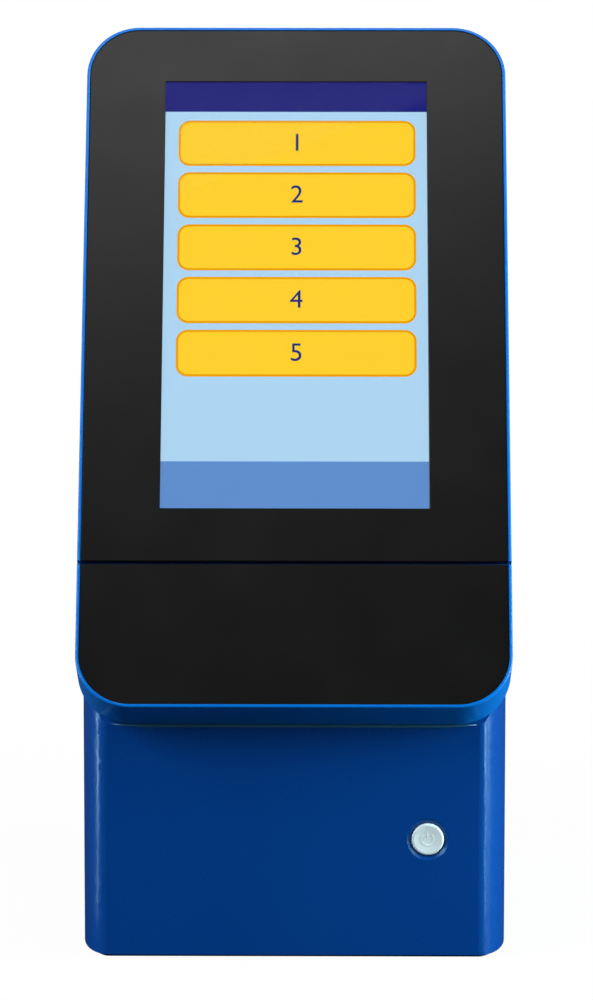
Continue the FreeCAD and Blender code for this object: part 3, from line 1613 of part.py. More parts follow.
def make_bucket():
    inner_half = d.door_half - d.bucket_side_gap
    half = inner_half + d.bucket_wall
    cradle = roll_radius + d.drawer_gap
    front = platen_y - d.bucket_front_gap
    floor = roll_z - d.bucket_wall
    outer = fuse(
        box(-half, half, front, rear_y, floor, d.overall_height),
        rod("x", (roll_y, roll_z), cradle + d.bucket_wall, -half, half))
    open_top = d.overall_height + past
    cavity = [
        box(-inner_half, inner_half, front + d.bucket_wall, rear_y - d.wall - d.bucket_wall,
            roll_z, open_top),
        rod("x", (roll_y, roll_z), cradle, -inner_half, inner_half),
        box(-half - past, half + past, rear_y - d.hinge_room_depth, rear_y + past,
            door_hinge_z - d.hinge_room_drop, open_top),
    ]
    held = common(outer, housing_block(d.wall + d.fit_gap, d.shell_foot))
    keep("printer_bucket", cut(held, *cavity))
    head_rear = platen_y - d.platen_radius - d.fit_gap
    head_front = front + d.bucket_wall
    plate_front = head_rear - d.print_head_plate
    keep("print_head", fuse(
        box(-d.print_head_half, d.print_head_half, plate_front, head_rear,
            roll_z, platen_z + d.print_head_rise),
        box(-d.print_head_body_half, d.print_head_body_half, head_front,
            plate_front + past / 2, roll_z, platen_z)))


# Screws

def screw(axis, across, head_start, sign, length):
    """Pan-head screw along an axis; sign gives the way that it points."""
    height = d.screw_head_height * sign
    start = amount(head_start)
    spans = [(start, start + height), (start + height, start + height + sign * amount(length))]
    solids = []
    for radius, (a, b) in zip((d.screw_head_radius, d.screw_radius), spans):
        low, high = (a, b) if sign > 0 else (b, a)
        solids.append(rod(axis, across, radius, low, high))
    return fuse(*solids)


def make_screws():
    base = [screw("z", (side * boss_x, y), d.plate_foot, 1, d.base_screw_length)
            for side in (-1, 1) for y in (boss_front, boss_rear)]
    keep("base_screws", gather(base))
    board_top = socket_floor + d.screw_head_height
    board = [screw("z", corner, board_top, -1, d.board_screw_length)
             for corner in board_corners()]
    keep("board_screws", gather(board))
    top = heater_bottom + d.heater_thickness
    heater = [rod("z", (x, y), d.screw_head_radius, top, top + d.screw_head_height)
              for x, y in standoff_places()]
    keep("heater_screws", gather(heater))
    fan = [screw("y", spot, fan_front - d.screw_head_height, 1, d.fan_depth - d.fit_gap)
           for spot in fan_hole_places()]
    keep("fan_screws", gather(fan))
    wall_in = -d.head_thickness - d.wall
    head = [screw("z", spot, wall_in - d.screw_head_height, 1, d.head_screw_length)
            for spot in head_screw_places()]
    keep("head_screws", lean(gather(head)))


make_main_shell()
make_base_plate()
make_feet()
make_head_frame()
make_front_panel()
make_screen()
make_drawer_front()
make_drawer_tray()
make_drawer_drive()
make_deck()
make_spindle()
make_chamber()
make_power_button()
make_electronics()
make_fan()
make_printer()
make_screws()

doc.recompute()

faults = []
for thing in doc.Objects:
    if "Invalid" in thing.State or "Error" in thing.State:
        faults.append(thing.Name + " " + thing.Label)
for thing in parts:
    if thing.Shape.isNull() or not thing.Shape.isValid():
        faults.append(thing.Label + " has no valid shape")
if faults:
    raise ValueError("failed: " + ", ".join(faults))

os.makedirs("parts", exist_ok=True)
for thing in parts:
    thing.Shape.exportStep(os.path.join("parts", thing.Label + ".step"))
    print(thing.Label, len(thing.Shape.Solids), round(thing.Shape.Volume))
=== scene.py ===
import json
import math

import bmesh
import bpy
from mathutils import Matrix, Vector


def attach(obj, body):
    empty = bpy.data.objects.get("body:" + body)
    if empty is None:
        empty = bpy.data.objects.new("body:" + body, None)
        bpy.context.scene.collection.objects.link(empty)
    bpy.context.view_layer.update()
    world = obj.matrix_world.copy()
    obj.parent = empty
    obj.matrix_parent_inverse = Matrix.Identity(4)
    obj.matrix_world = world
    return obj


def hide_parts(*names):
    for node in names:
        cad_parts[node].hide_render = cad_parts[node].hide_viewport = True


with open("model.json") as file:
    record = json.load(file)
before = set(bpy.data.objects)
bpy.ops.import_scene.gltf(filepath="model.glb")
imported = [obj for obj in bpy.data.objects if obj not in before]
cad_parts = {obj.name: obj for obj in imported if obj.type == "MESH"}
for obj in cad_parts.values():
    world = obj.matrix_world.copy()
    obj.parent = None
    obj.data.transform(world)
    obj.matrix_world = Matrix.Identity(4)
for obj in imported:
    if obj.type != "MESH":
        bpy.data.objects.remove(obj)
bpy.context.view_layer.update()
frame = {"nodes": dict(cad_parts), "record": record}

bl_info = {
    "name": "Bench analyzer looks",
    "version": (1, 0, 0),
    "blender": (4, 5, 0),
    "location": "3D View > Sidebar > Analyzer",
    "description": "Dresses the packed bench analyzer and sets up its studio",
    "category": "Object",
}


# Places on the machine, in metres
# On the leaning face they count across from its middle, up from its foot and out from its front.
# The crease is where the base's front meets the underside of the head.

FACE_FOOT = Vector((0.0, -0.103, 0.0939))
GLASS_BACK = -0.0018
WINDOW_HALF = 0.0474
WINDOW_LOW = 0.0735
WINDOW_HIGH = 0.2387
BODY_FRONT = -0.0856059
CREASE = 0.0846514
BUTTON = Vector((0.04705, BODY_FRONT, 0.0436))
ROLL_HEIGHT = 0.283
ROLL_DEPTH = 0.072


# Sizes of what the scene adds, in metres
# The lip is the fine edge along the crease; its paler blue is a painted highlight along that edge.
# The display lies in layers behind its glass, with its ends hidden behind the window's edge.
# The sign is the power mark's open ring, the stroke its upright bar.

LIP = 0.0006
LIP_HALF = 0.0640
LIP_TAPER = 0.004
FIELD_LEVEL = GLASS_BACK + 0.00002
LAYER = 0.00004
BEHIND_EDGE = 0.002
FIELD_CORNER = 0.0004
BAR_CORNER = 0.0002
HEADER_FOOT = 0.22734
FOOTER_TOP = 0.09158
KEY_COUNT = 5
KEY_CENTRE = 0.00039
FIGURE_SIZE = 0.0098
SIGN_RADIUS = 0.00215
SIGN_LINE = 0.00042
SIGN_GAP = math.radians(40)
SIGN_RAISED = 0.00005
SIGN_SUNK = 0.0004
STROKE_FOOT = 0.0004
STROKE_TOP = 0.0026
FLOOR_HALF = 6.0

# The button's cap as (radius, depth behind the housing's front), from its middle to its back.
BUTTON_PROFILE = (
    (0.0, 0.0001), (0.0030, 0.00002), (0.0046, -0.00026), (0.0050, -0.0003),
    (0.00535, -0.00022), (0.00558, 0.00002), (0.00565, 0.0003), (0.00565, 0.0083),
    (0.00715, 0.0083), (0.00715, 0.0093), (0.0030, 0.0093), (0.0030, 0.0103), (0.0, 0.0103),
)


# Settings

class HousingSettings(bpy.types.PropertyGroup):
    blue: bpy.props.FloatVectorProperty(
        name="Housing blue", description="Moulded colour of the housing",
        subtype="COLOR", size=3, min=0, max=1, default=(0.0, 0.043, 0.245))
    rim_blue: bpy.props.FloatVectorProperty(
        name="Rim blue", description="Colour of the head's moulded edge",
        subtype="COLOR", size=3, min=0, max=1, default=(0.0, 0.128, 0.52))
    black: bpy.props.FloatVectorProperty(
        name="Panel black", description="Colour of the face panels",
        subtype="COLOR", size=3, min=0, max=1, default=(0.002, 0.002, 0.0021))
    edge: bpy.props.FloatProperty(
        name="Edge rounding", description="Radius that breaks the moulded edges",
        subtype="DISTANCE", unit="LENGTH", min=0, default=0.0004)


class ScreenSettings(bpy.types.PropertyGroup):
    lean: bpy.props.FloatProperty(
        name="Lean", description="How far the face leans back",
        subtype="ANGLE", unit="ROTATION", default=math.radians(28.0))
    field: bpy.props.FloatVectorProperty(
        name="Field", description="Background of the display",
        subtype="COLOR", size=3, min=0, max=1, default=(0.393, 0.625, 0.832))
    header: bpy.props.FloatVectorProperty(
        name="Header", description="Bar along the top of the display",
        subtype="COLOR", size=3, min=0, max=1, default=(0.013, 0.015, 0.186))
    footer: bpy.props.FloatVectorProperty(
        name="Footer", description="Bar along the bottom of the display",
        subtype="COLOR", size=3, min=0, max=1, default=(0.112, 0.255, 0.573))
    key: bpy.props.FloatVectorProperty(
        name="Key", description="Colour of the five keys",
        subtype="COLOR", size=3, min=0, max=1, default=(0.93, 0.585, 0.028))
    key_line: bpy.props.FloatVectorProperty(
        name="Key outline", description="Colour of the line round each key",
        subtype="COLOR", size=3, min=0, max=1, default=(0.80, 0.34, 0.002))
    ink: bpy.props.FloatVectorProperty(
        name="Figures", description="Colour of the figures on the keys",
        subtype="COLOR", size=3, min=0, max=1, default=(0.012, 0.03, 0.17))
    key_width: bpy.props.FloatProperty(
        name="Key width", description="Width of a display key",
        subtype="DISTANCE", unit="LENGTH", default=0.08596)
    key_height: bpy.props.FloatProperty(
        name="Key height", description="Height of a display key",
        subtype="DISTANCE", unit="LENGTH", default=0.0180)
    key_pitch: bpy.props.FloatProperty(
        name="Key pitch", description="From the middle of one key to the next",
        subtype="DISTANCE", unit="LENGTH", default=0.0205)
    first_key: bpy.props.FloatProperty(
        name="First key", description="Middle of the top key, measured up the face",
        subtype="DISTANCE", unit="LENGTH", default=0.2148)
    key_line_width: bpy.props.FloatProperty(
        name="Key outline width", description="Width of the line round each key",
        subtype="DISTANCE", unit="LENGTH", default=0.0009)
    key_round: bpy.props.FloatProperty(
        name="Key corner", description="Corner radius of a display key",
        subtype="DISTANCE", unit="LENGTH", default=0.0043)


class StageSettings(bpy.types.PropertyGroup):
    aside: bpy.props.FloatProperty(
        name="Camera aside", description="How far the camera stands to the right",
        subtype="DISTANCE", unit="LENGTH", default=0.0110)
    distance: bpy.props.FloatProperty(
        name="Camera distance", description="From the middle of the machine to the camera",
        subtype="DISTANCE", unit="LENGTH", default=1.67504)
    height: bpy.props.FloatProperty(
        name="Camera height", description="Height of the camera above the bench",
        subtype="DISTANCE", unit="LENGTH", default=0.38453)
    pitch: bpy.props.FloatProperty(
        name="Camera pitch", description="How far the camera looks down",
        subtype="ANGLE", unit="ROTATION", default=math.radians(7.899))
    yaw: bpy.props.FloatProperty(
        name="Camera yaw", description="How far the camera turns to the right",
        subtype="ANGLE", unit="ROTATION", default=math.radians(-0.3672))
    roll: bpy.props.FloatProperty(
        name="Camera roll", description="How far the camera leans to the left",
        subtype="ANGLE", unit="ROTATION", default=math.radians(0.0406))
    lens: bpy.props.FloatProperty(
        name="Lens", description="Focal length on a 36 mm high picture",
        default=166.022)
    floor: bpy.props.FloatVectorProperty(
        name="Floor", description="Colour of the floor",
        subtype="COLOR", size=3, min=0, max=1, default=(0.02, 0.02, 0.02))


# Materials

def plain(name, colour, roughness, metallic=0.0, specular=0.5):
    """A new principled material with its plain numbers set on the shader itself."""
    material = bpy.data.materials.new(name)
    material.use_nodes = True
    shader = material.node_tree.nodes["Principled BSDF"]
    shader.inputs["Base Color"].default_value = (*colour, 1)
    shader.inputs["Roughness"].default_value = roughness
    shader.inputs["Metallic"].default_value = metallic
    shader.inputs["Specular IOR Level"].default_value = specular
    material.diffuse_color = (*colour, 1)
    return material, shader


def node(owner, kind, **values):
    """A new shader node of a material or the world, with its settings."""
    made = owner.node_tree.nodes.new(kind)
    for name, value in values.items():
        setattr(made, name, value)
    return made


def link(owner, source, target):
    owner.node_tree.links.new(source, target)


def place_of(material, scale=(1, 1, 1)):
    """Object coordinates, stretched by scale."""
    where = node(material, "ShaderNodeTexCoord")
    stretch = node(material, "ShaderNodeMapping")
    stretch.inputs["Scale"].default_value = scale
    link(material, where.outputs["Object"], stretch.inputs["Vector"])
    return stretch.outputs["Vector"]


def noise(material, scale, detail, stretch=(1, 1, 1)):
    """A cloudy pattern of that many marks a metre."""
    texture = node(material, "ShaderNodeTexNoise")
    texture.inputs["Scale"].default_value = scale
    texture.inputs["Detail"].default_value = detail
    link(material, place_of(material, stretch), texture.inputs["Vector"])
    return texture.outputs["Fac"]


def spread(owner, source, low, high, start=0.0, end=1.0):
    """Maps a value that runs from start to end between two numbers."""
    ramp = node(owner, "ShaderNodeMapRange")
    ramp.inputs["From Min"].default_value = start
    ramp.inputs["From Max"].default_value = end
    ramp.inputs["To Min"].default_value = low
    ramp.inputs["To Max"].default_value = high
    link(owner, source, ramp.inputs["Value"])
    return ramp.outputs["Result"]


def combine(owner, operation, first, second):
    """Two values put together by one operation."""
    made = node(owner, "ShaderNodeMath", operation=operation)
    link(owner, first, made.inputs[0])
    link(owner, second, made.inputs[1])
    return made.outputs["Value"]


def tint(material, shader, source, first, second, low=0.3, high=0.7):
    """Varies the base colour between two close shades."""
    ramp = node(material, "ShaderNodeValToRGB")
    ramp.color_ramp.elements[0].position = low
    ramp.color_ramp.elements[0].color = (*first, 1)
    ramp.color_ramp.elements[1].position = high
    ramp.color_ramp.elements[1].color = (*second, 1)
    link(material, source, ramp.inputs["Fac"])
    link(material, ramp.outputs["Color"], shader.inputs["Base Color"])


def relief(material, shader, source, depth, strength):
    """Bump of a depth in metres."""
    bump = node(material, "ShaderNodeBump")
    bump.inputs["Strength"].default_value = strength
    bump.inputs["Distance"].default_value = depth
    link(material, source, bump.inputs["Height"])
    link(material, bump.outputs["Normal"], shader.inputs["Normal"])


def shade(colour, factor):
    """The colour made lighter or darker."""
    return tuple(channel * factor for channel in colour)


def moulded(name, colour, roughness, grain_scale=1600.0, grain=0.00003, specular=0.5,
            vary=0.08, sheen=(1, 1, 1)):
    """Moulded plastic: fine grain, slow changes of gloss and a hint of colour change."""
    material, shader = plain(name, colour, roughness, specular=specular)
    shader.inputs["Specular Tint"].default_value = (*sheen, 1)
    slow = noise(material, 14.0, 2.0)
    tint(material, shader, slow, shade(colour, 1 - vary), shade(colour, 1 + vary))
    gloss = noise(material, 45.0, 4.0)
    link(material, spread(material, gloss, roughness - 0.04, roughness + 0.05),
         shader.inputs["Roughness"])
    relief(material, shader, noise(material, grain_scale, 2.0), grain, 0.5)
    return material


def brushed(name, colour, roughness, stretch):
    """Metal with fine marks along one direction."""
    material, shader = plain(name, colour, roughness, metallic=1.0)
    marks = noise(material, 700.0, 5.0, stretch)
    tint(material, shader, marks, shade(colour, 0.86), shade(colour, 1.08))
    link(material, spread(material, marks, roughness - 0.08, roughness + 0.12),
         shader.inputs["Roughness"])
    relief(material, shader, marks, 0.00002, 0.4)
    return material


def laminate(name, colour):
    """Circuit board: solder mask with a pattern of copper tracks under it."""
    material, shader = plain(name, colour, 0.35)
    tracks = node(material, "ShaderNodeTexVoronoi", feature="DISTANCE_TO_EDGE")
    tracks.inputs["Scale"].default_value = 260.0
    link(material, place_of(material), tracks.inputs["Vector"])
    tint(material, shader, tracks.outputs["Distance"], shade(colour, 1.9), colour, 0.02, 0.06)
    relief(material, shader, tracks.outputs["Distance"], 0.00004, 0.4)
    return material


def glowing(name, colour):
    """A lit field of the display, with the faint unevenness of its backlight."""
    material, shader = plain(name, shade(colour, 0.06), 0.5, specular=0.0)
    ramp = node(material, "ShaderNodeValToRGB")
    ramp.color_ramp.elements[0].color = (*shade(colour, 0.98), 1)
    ramp.color_ramp.elements[1].color = (*shade(colour, 1.015), 1)
    link(material, noise(material, 9.0, 1.0), ramp.inputs["Fac"])
    link(material, ramp.outputs["Color"], shader.inputs["Emission Color"])
    shader.inputs["Emission Strength"].default_value = 1.0
    return material


def clear_glass(name):
    """Clear cover glass with a trace of finger marks in its gloss."""
    material, shader = plain(name, (1.0, 1.0, 1.0), 0.02, specular=0.3)
    shader.inputs["Transmission Weight"].default_value = 1.0
    shader.inputs["IOR"].default_value = 1.1
    link(material, spread(material, noise(material, 30.0, 3.0), 0.0, 0.05),
         shader.inputs["Roughness"])
    return material


def wound_paper(name):
    """Thermal paper: fibres, and the edges of the turns on the roll's ends."""
    material, shader = plain(name, (0.82, 0.81, 0.78), 0.85, specular=0.2)
    turns = node(material, "ShaderNodeTexWave", wave_type="RINGS", rings_direction="X")
    turns.inputs["Scale"].default_value = 420.0
    turns.inputs["Distortion"].default_value = 1.5
    shifted = node(material, "ShaderNodeMapping")
    shifted.inputs["Location"].default_value = (0.0, -ROLL_DEPTH, -ROLL_HEIGHT)
    where = node(material, "ShaderNodeTexCoord")
    link(material, where.outputs["Object"], shifted.inputs["Vector"])
    link(material, shifted.outputs["Vector"], turns.inputs["Vector"])
    tint(material, shader, turns.outputs["Fac"], (0.74, 0.73, 0.70), (0.86, 0.85, 0.82), 0.1, 0.9)
    relief(material, shader, noise(material, 900.0, 4.0), 0.00003, 0.4)
    return material


def make_materials():
    """Every finish, by the name of its slot in the record or of the piece that the scene adds."""
    housing = bpy.context.scene.analyzer_housing
    blue = tuple(housing.blue)
    rim = tuple(housing.rim_blue)
    black = tuple(housing.black)
    return {
        "housing_blue": moulded("housing blue", blue, 0.27, grain_scale=1400.0, grain=0.000003,
                                specular=0.68, vary=0.03, sheen=(0.35, 0.75, 1.0)),
        # The lip's paler blue is painted highlight: it stands in for the light line along the
        # crease.
        "lip_painted_highlight": moulded("lip painted highlight", (0.02, 0.10, 0.20), 0.25, grain_scale=2200.0,
                            grain=0.00001, vary=0.03),
        "rim_blue": moulded("rim blue", rim, 0.24, grain_scale=1400.0, grain=0.000003,
                            specular=0.2, vary=0.03),
        "panel_black": moulded("satin black", black, 0.315, grain_scale=1500.0, grain=0.00004,
                               specular=0.29, vary=0.06),
        "black_plastic": moulded("black plastic", (0.012, 0.012, 0.013), 0.5),
        "base_plastic": moulded("base plastic", (0.009, 0.009, 0.01), 0.6, grain_scale=900.0,
                                grain=0.00008),
        "white_plastic": moulded("acetal", (0.72, 0.73, 0.71), 0.38),
        "tray_plastic": moulded("tray plastic", (0.035, 0.038, 0.042), 0.48, grain_scale=1100.0,
                                grain=0.00005),
        "button_silver": moulded("button silver", (0.58, 0.71, 0.77), 0.42, grain_scale=2600.0,
                                 grain=0.00001),
        "button_mark": moulded("button mark", (0.72, 0.83, 0.86), 0.5, grain_scale=2600.0,
                               grain=0.00001),
        "rubber": moulded("rubber", (0.012, 0.012, 0.012), 0.85, grain_scale=600.0,
                          grain=0.0001, specular=0.3),
        "sheet_steel": brushed("zinc sheet", (0.58, 0.59, 0.60), 0.38, (1, 0.05, 1)),
        "machined_aluminium": brushed("machined aluminium", (0.78, 0.79, 0.80), 0.3, (1, 1, 0.06)),
        "motor_steel": brushed("motor can", (0.46, 0.46, 0.47), 0.34, (1, 1, 0.04)),
        "screw_steel": brushed("screw steel", (0.5, 0.51, 0.52), 0.3, (1, 1, 1)),
        "connector_metal": brushed("connector shield", (0.66, 0.66, 0.67), 0.28, (1, 0.1, 1)),
        "circuit_board": laminate("circuit board", (0.006, 0.075, 0.03)),
        "paper": wound_paper("thermal paper"),
        "screen_glass": clear_glass("cover glass"),
        "lcd": moulded("display frame", (0.02, 0.02, 0.022), 0.4),
    }


MATERIALS = {}


def give(thing, material):
    """Gives a CAD node that material in all its slots."""
    for socket in thing.material_slots:
        socket.link = "OBJECT"
        socket.material = material


def dress(*names):
    """Gives CAD nodes the finish of their slot, and breaks their edges."""
    edge = bpy.context.scene.analyzer_housing.edge
    slots = {piece["node"]: piece["material_slot"] for piece in frame["record"]["subparts"]}
    for name in names:
        thing = frame["nodes"][name]
        give(thing, MATERIALS[slots[name]])
        joined = thing.modifiers.new("joined", "WELD")
        joined.merge_threshold = 0.000002
        broken = thing.modifiers.new("broken edges", "BEVEL")
        broken.width = edge
        broken.segments = 2
        broken.limit_method = "ANGLE"
        broken.angle_limit = math.radians(40)
        broken.harden_normals = False
        even = thing.modifiers.new("even shading", "WEIGHTED_NORMAL")
        even.keep_sharp = True


# Shapes

def solid(name, mesh, material, body):
    """A finished piece that rides on a body."""
    thing = bpy.data.objects.new(name, mesh)
    bpy.context.scene.collection.objects.link(thing)
    thing.data.materials.clear()
    thing.data.materials.append(material)
    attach(thing, body)
    return thing


def face_matrix():
    """From places on the leaning face (across, up, out) to places in the room."""
    lean = bpy.context.scene.analyzer_screen.lean
    return Matrix.Translation(FACE_FOOT) @ Matrix.Rotation(math.pi / 2 - lean, 4, "X")


def rounded_outline(x0, x1, y0, y1, radius):
    """Points round a rectangle with rounded corners."""
    steps = 8
    points = []
    corners = ((x1, y0, -90), (x1, y1, 0), (x0, y1, 90), (x0, y0, 180))
    for x, y, start in corners:
        cx = x - math.copysign(radius, x - (x0 + x1) / 2)
        cy = y - math.copysign(radius, y - (y0 + y1) / 2)
        for step in range(steps + 1):
            angle = math.radians(start + 90 * step / steps)
            points.append((cx + radius * math.cos(angle), cy + radius * math.sin(angle)))
    return points


def closed_mesh(form, name, smooth=False):
    """The mesh of a closed form, with its faces turned outwards."""
    bmesh.ops.recalc_face_normals(form, faces=form.faces)
    for face in form.faces:
        face.smooth = smooth
    mesh = bpy.data.meshes.new(name)
    form.to_mesh(mesh)
    form.free()
    return mesh


def skin(form, rings):
    """Walls from each ring of points to the next, and a lid on each end."""
    count = len(rings[0])
    for first, second in zip(rings, rings[1:]):
        for index in range(count):
            after = (index + 1) % count
            form.faces.new((first[index], first[after], second[after], second[index]))
    form.faces.new(rings[0])
    form.faces.new(list(reversed(rings[-1])))


def plate_mesh(name, outline, low, high):
    """A thin closed plate on the leaning face with that outline."""
    form = bmesh.new()
    rings = []
    for level in (low, high):
        rings.append([form.verts.new((x, y, level)) for x, y in outline])
    skin(form, rings)
    form.transform(face_matrix())
    return closed_mesh(form, name)


def figure_mesh(name, text, size, x, y, level, depth):
    """A plain figure as a thin closed mesh on the leaning face."""
    curve = bpy.data.curves.new(name, "FONT")
    curve.body = text
    curve.size = size
    curve.align_x = "CENTER"
    curve.align_y = "CENTER"
    curve.extrude = depth / 2
    curve.resolution_u = 6
    writer = bpy.data.objects.new(name, curve)
    mesh = bpy.data.meshes.new_from_object(writer)
    bpy.data.objects.remove(writer)
    mesh.transform(face_matrix() @ Matrix.Translation((x, y, level + depth / 2)))
    return mesh


def turned_mesh(name, profile, matrix, segments):
    """A closed solid of revolution from (radius, height) points that start and end on the axis."""
    form = bmesh.new()
    rings = []
    for radius, height in profile:
        if radius < 1e-7:
            rings.append([form.verts.new((0, 0, height))])
            continue
        ring = []
        for index in range(segments):
            angle = 2 * math.pi * index / segments
            ring.append(form.verts.new((radius * math.cos(angle), radius * math.sin(angle), height)))
        rings.append(ring)
    for first, second in zip(rings, rings[1:]):
        for index in range(segments):
            after = (index + 1) % segments
            corners = []
            for ring, at in ((first, index), (first, after), (second, after), (second, index)):
                corner = ring[at % len(ring)]
                if corner not in corners:
                    corners.append(corner)
            form.faces.new(corners)
    form.transform(matrix)
    return closed_mesh(form, name, smooth=True)


def sign_path():
    """The open ring of the power sign, from one side of its gap round to the other."""
    steps = 40
    path = []
    for step in range(steps + 1):
        angle = math.pi / 2 + SIGN_GAP + (2 * math.pi - 2 * SIGN_GAP) * step / steps
        path.append((SIGN_RADIUS * math.cos(angle), SIGN_RADIUS * math.sin(angle)))
    return path


def raised_line_mesh(name, path):
    """A raised line along a path (across, up) on the button's face."""
    form = bmesh.new()
    rings = []
    for index, (x, z) in enumerate(path):
        before = path[max(index - 1, 0)]
        after = path[min(index + 1, len(path) - 1)]
        along = Vector((after[0] - before[0], after[1] - before[1])).normalized()
        across = Vector((-along.y, along.x)) * SIGN_LINE / 2
        ring = []
        for side, y in ((1, SIGN_SUNK), (1, -SIGN_RAISED), (-1, -SIGN_RAISED), (-1, SIGN_SUNK)):
            spot = Vector((x + side * across.x, y, z + side * across.y))
            ring.append(form.verts.new(BUTTON + spot))
        rings.append(ring)
    skin(form, rings)
    return closed_mesh(form, name)


def beam_mesh(name, outline, half, taper):
    """A closed bar across the machine with that outline (depth, height) and tapered ends."""
    form = bmesh.new()
    places = [(-half, 0.15), (-half + taper, 0.6175), (-half + 3 * taper, 1.0),
              (half - 3 * taper, 1.0), (half - taper, 0.6175), (half, 0.15)]
    foot = outline[0]
    rings = []
    for x, scale in places:
        rings.append([form.verts.new((x, foot[0] + (y - foot[0]) * scale,
                                      foot[1] + (z - foot[1]) * scale)) for y, z in outline])
    skin(form, rings)
    return closed_mesh(form, name, smooth=True)


# Pieces

class ANALYZER_OT_housing(bpy.types.Operator):
    """Finish the housing, its base and its feet"""
    bl_idname = "analyzer.housing"
    bl_label = "Housing"

    def execute(self, context):
        dress("main_shell", "base_plate", "feet", "base_screws")
        outline = []
        steps = 8
        for step in range(steps + 1):
            angle = math.pi / 2 - math.pi * step / steps
            outline.append((BODY_FRONT - LIP * 0.6 * math.cos(angle),
                            CREASE - LIP + LIP * math.sin(angle)))
        outline.append((BODY_FRONT + LIP, CREASE - 2 * LIP))
        outline.append((BODY_FRONT + LIP, CREASE))
        # The lip's shape is a real edge along the crease; its paler finish is a painted highlight
        # line.
        lip = beam_mesh("housing_lip", outline, LIP_HALF, LIP_TAPER)
        solid("housing_lip", lip, MATERIALS["lip_painted_highlight"], "housing")
        return {"FINISHED"}


class ANALYZER_OT_head(bpy.types.Operator):
    """Finish the leaning head and its black face"""
    bl_idname = "analyzer.head"
    bl_label = "Head"

    def execute(self, context):
        dress("head_frame", "front_panel", "head_screws", "display_board", "lcd_module")
        give(frame["nodes"]["touch_glass"], MATERIALS["screen_glass"])
        return {"FINISHED"}


class ANALYZER_OT_display(bpy.types.Operator):
    """Draw the lit display: field, bars, five keys and their figures"""
    bl_idname = "analyzer.display"
    bl_label = "Display"

    def execute(self, context):
        screen = context.scene.analyzer_screen
        lit = {
            "field": glowing("lit field", tuple(screen.field)),
            "header": glowing("lit header", tuple(screen.header)),
            "footer": glowing("lit footer", tuple(screen.footer)),
            "key": glowing("lit key", tuple(screen.key)),
            "line": glowing("lit key line", tuple(screen.key_line)),
            "ink": glowing("lit figures", tuple(screen.ink)),
        }

        def lay(name, kind, outline, layer):
            low = FIELD_LEVEL + layer * LAYER
            solid(name, plate_mesh(name, outline, low, low + LAYER), lit[kind], "housing")

        half = WINDOW_HALF + BEHIND_EDGE
        low = WINDOW_LOW - BEHIND_EDGE
        high = WINDOW_HIGH + BEHIND_EDGE
        lay("display_field", "field", rounded_outline(-half, half, low, high, FIELD_CORNER), 0)
        lay("display_header", "header",
            rounded_outline(-half, half, HEADER_FOOT, high, BAR_CORNER), 1)
        lay("display_footer", "footer",
            rounded_outline(-half, half, low, FOOTER_TOP, BAR_CORNER), 1)
        radius = screen.key_round
        inset = screen.key_line_width
        left = KEY_CENTRE - screen.key_width / 2
        right = KEY_CENTRE + screen.key_width / 2
        for number in range(1, KEY_COUNT + 1):
            middle = screen.first_key - (number - 1) * screen.key_pitch
            low = middle - screen.key_height / 2
            high = middle + screen.key_height / 2
            lay("display_key_line_%d" % number, "line",
                rounded_outline(left, right, low, high, radius), 1)
            lay("display_key_%d" % number, "key",
                rounded_outline(left + inset, right - inset, low + inset, high - inset,
                                radius - inset), 2)
            mesh = figure_mesh("display_figure_%d" % number, str(number), FIGURE_SIZE,
                               KEY_CENTRE, middle, FIELD_LEVEL + 3 * LAYER, LAYER)
            solid("display_figure_%d" % number, mesh, lit["ink"], "housing")
        return {"FINISHED"}


class ANALYZER_OT_drawer(bpy.types.Operator):
    """Finish the drawer, its rails and its drive"""
    bl_idname = "analyzer.drawer"
    bl_label = "Drawer"

    def execute(self, context):
        dress("drawer_front", "drawer_face", "drawer_tray", "drawer_rack", "drawer_pinion",
              "left_rail", "right_rail", "drawer_motor", "drawer_sensor")
        return {"FINISHED"}


class ANALYZER_OT_button(bpy.types.Operator):
    """Finish the power button, its switch and its board"""
    bl_idname = "analyzer.button"
    bl_label = "Power button"

    def execute(self, context):
        dress("button_switch", "button_board")
        inwards = Matrix.Translation(BUTTON) @ Matrix.Rotation(-math.pi / 2, 4, "X")
        cap = turned_mesh("power_cap", BUTTON_PROFILE, inwards, 96)
        button = solid("power_cap", cap, MATERIALS["button_silver"], "button")
        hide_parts("power_button")
        stroke_path = [(0.0, STROKE_FOOT), (0.0, STROKE_TOP)]
        for name, path in (("power_sign", sign_path()), ("power_bar", stroke_path)):
            line = raised_line_mesh(name, path)
            solid(name, line, MATERIALS["button_mark"], "button")
        return {"FINISHED"}


class ANALYZER_OT_chassis(bpy.types.Operator):
    """Finish the deck, the heated chamber and the optics"""
    bl_idname = "analyzer.chassis"
    bl_label = "Chassis and optics"

    def execute(self, context):
        dress("chassis_deck", "heater_plate", "chamber_standoffs", "heater_screws", "flash_lamp",
              "lens_barrel", "photometer", "code_reader")
        return {"FINISHED"}


class ANALYZER_OT_spindle(bpy.types.Operator):
    """Finish the spindle and its lift"""
    bl_idname = "analyzer.spindle"
    bl_label = "Spindle"

    def execute(self, context):
        dress("guide_posts", "motor_carriage", "spindle_motor", "spindle_shaft", "spindle_hub",
              "lift_actuator", "lift_plunger")
        return {"FINISHED"}


class ANALYZER_OT_electronics(bpy.types.Operator):
    """Finish the main board, the sockets, the speaker and the fan"""
    bl_idname = "analyzer.electronics"
    bl_label = "Electronics and fan"

    def execute(self, context):
        dress("main_board", "board_screws", "ethernet_socket", "usb_sockets", "power_inlet",
              "speaker", "fan_frame", "fan_rotor", "fan_screws")
        return {"FINISHED"}


class ANALYZER_OT_printer(bpy.types.Operator):
    """Finish the slip printer and its door"""
    bl_idname = "analyzer.printer"
    bl_label = "Printer"

    def execute(self, context):
        dress("printer_door", "door_hinge_pin", "platen_roller", "paper_roll", "printer_bucket",
              "print_head")
        return {"FINISHED"}


# Stage

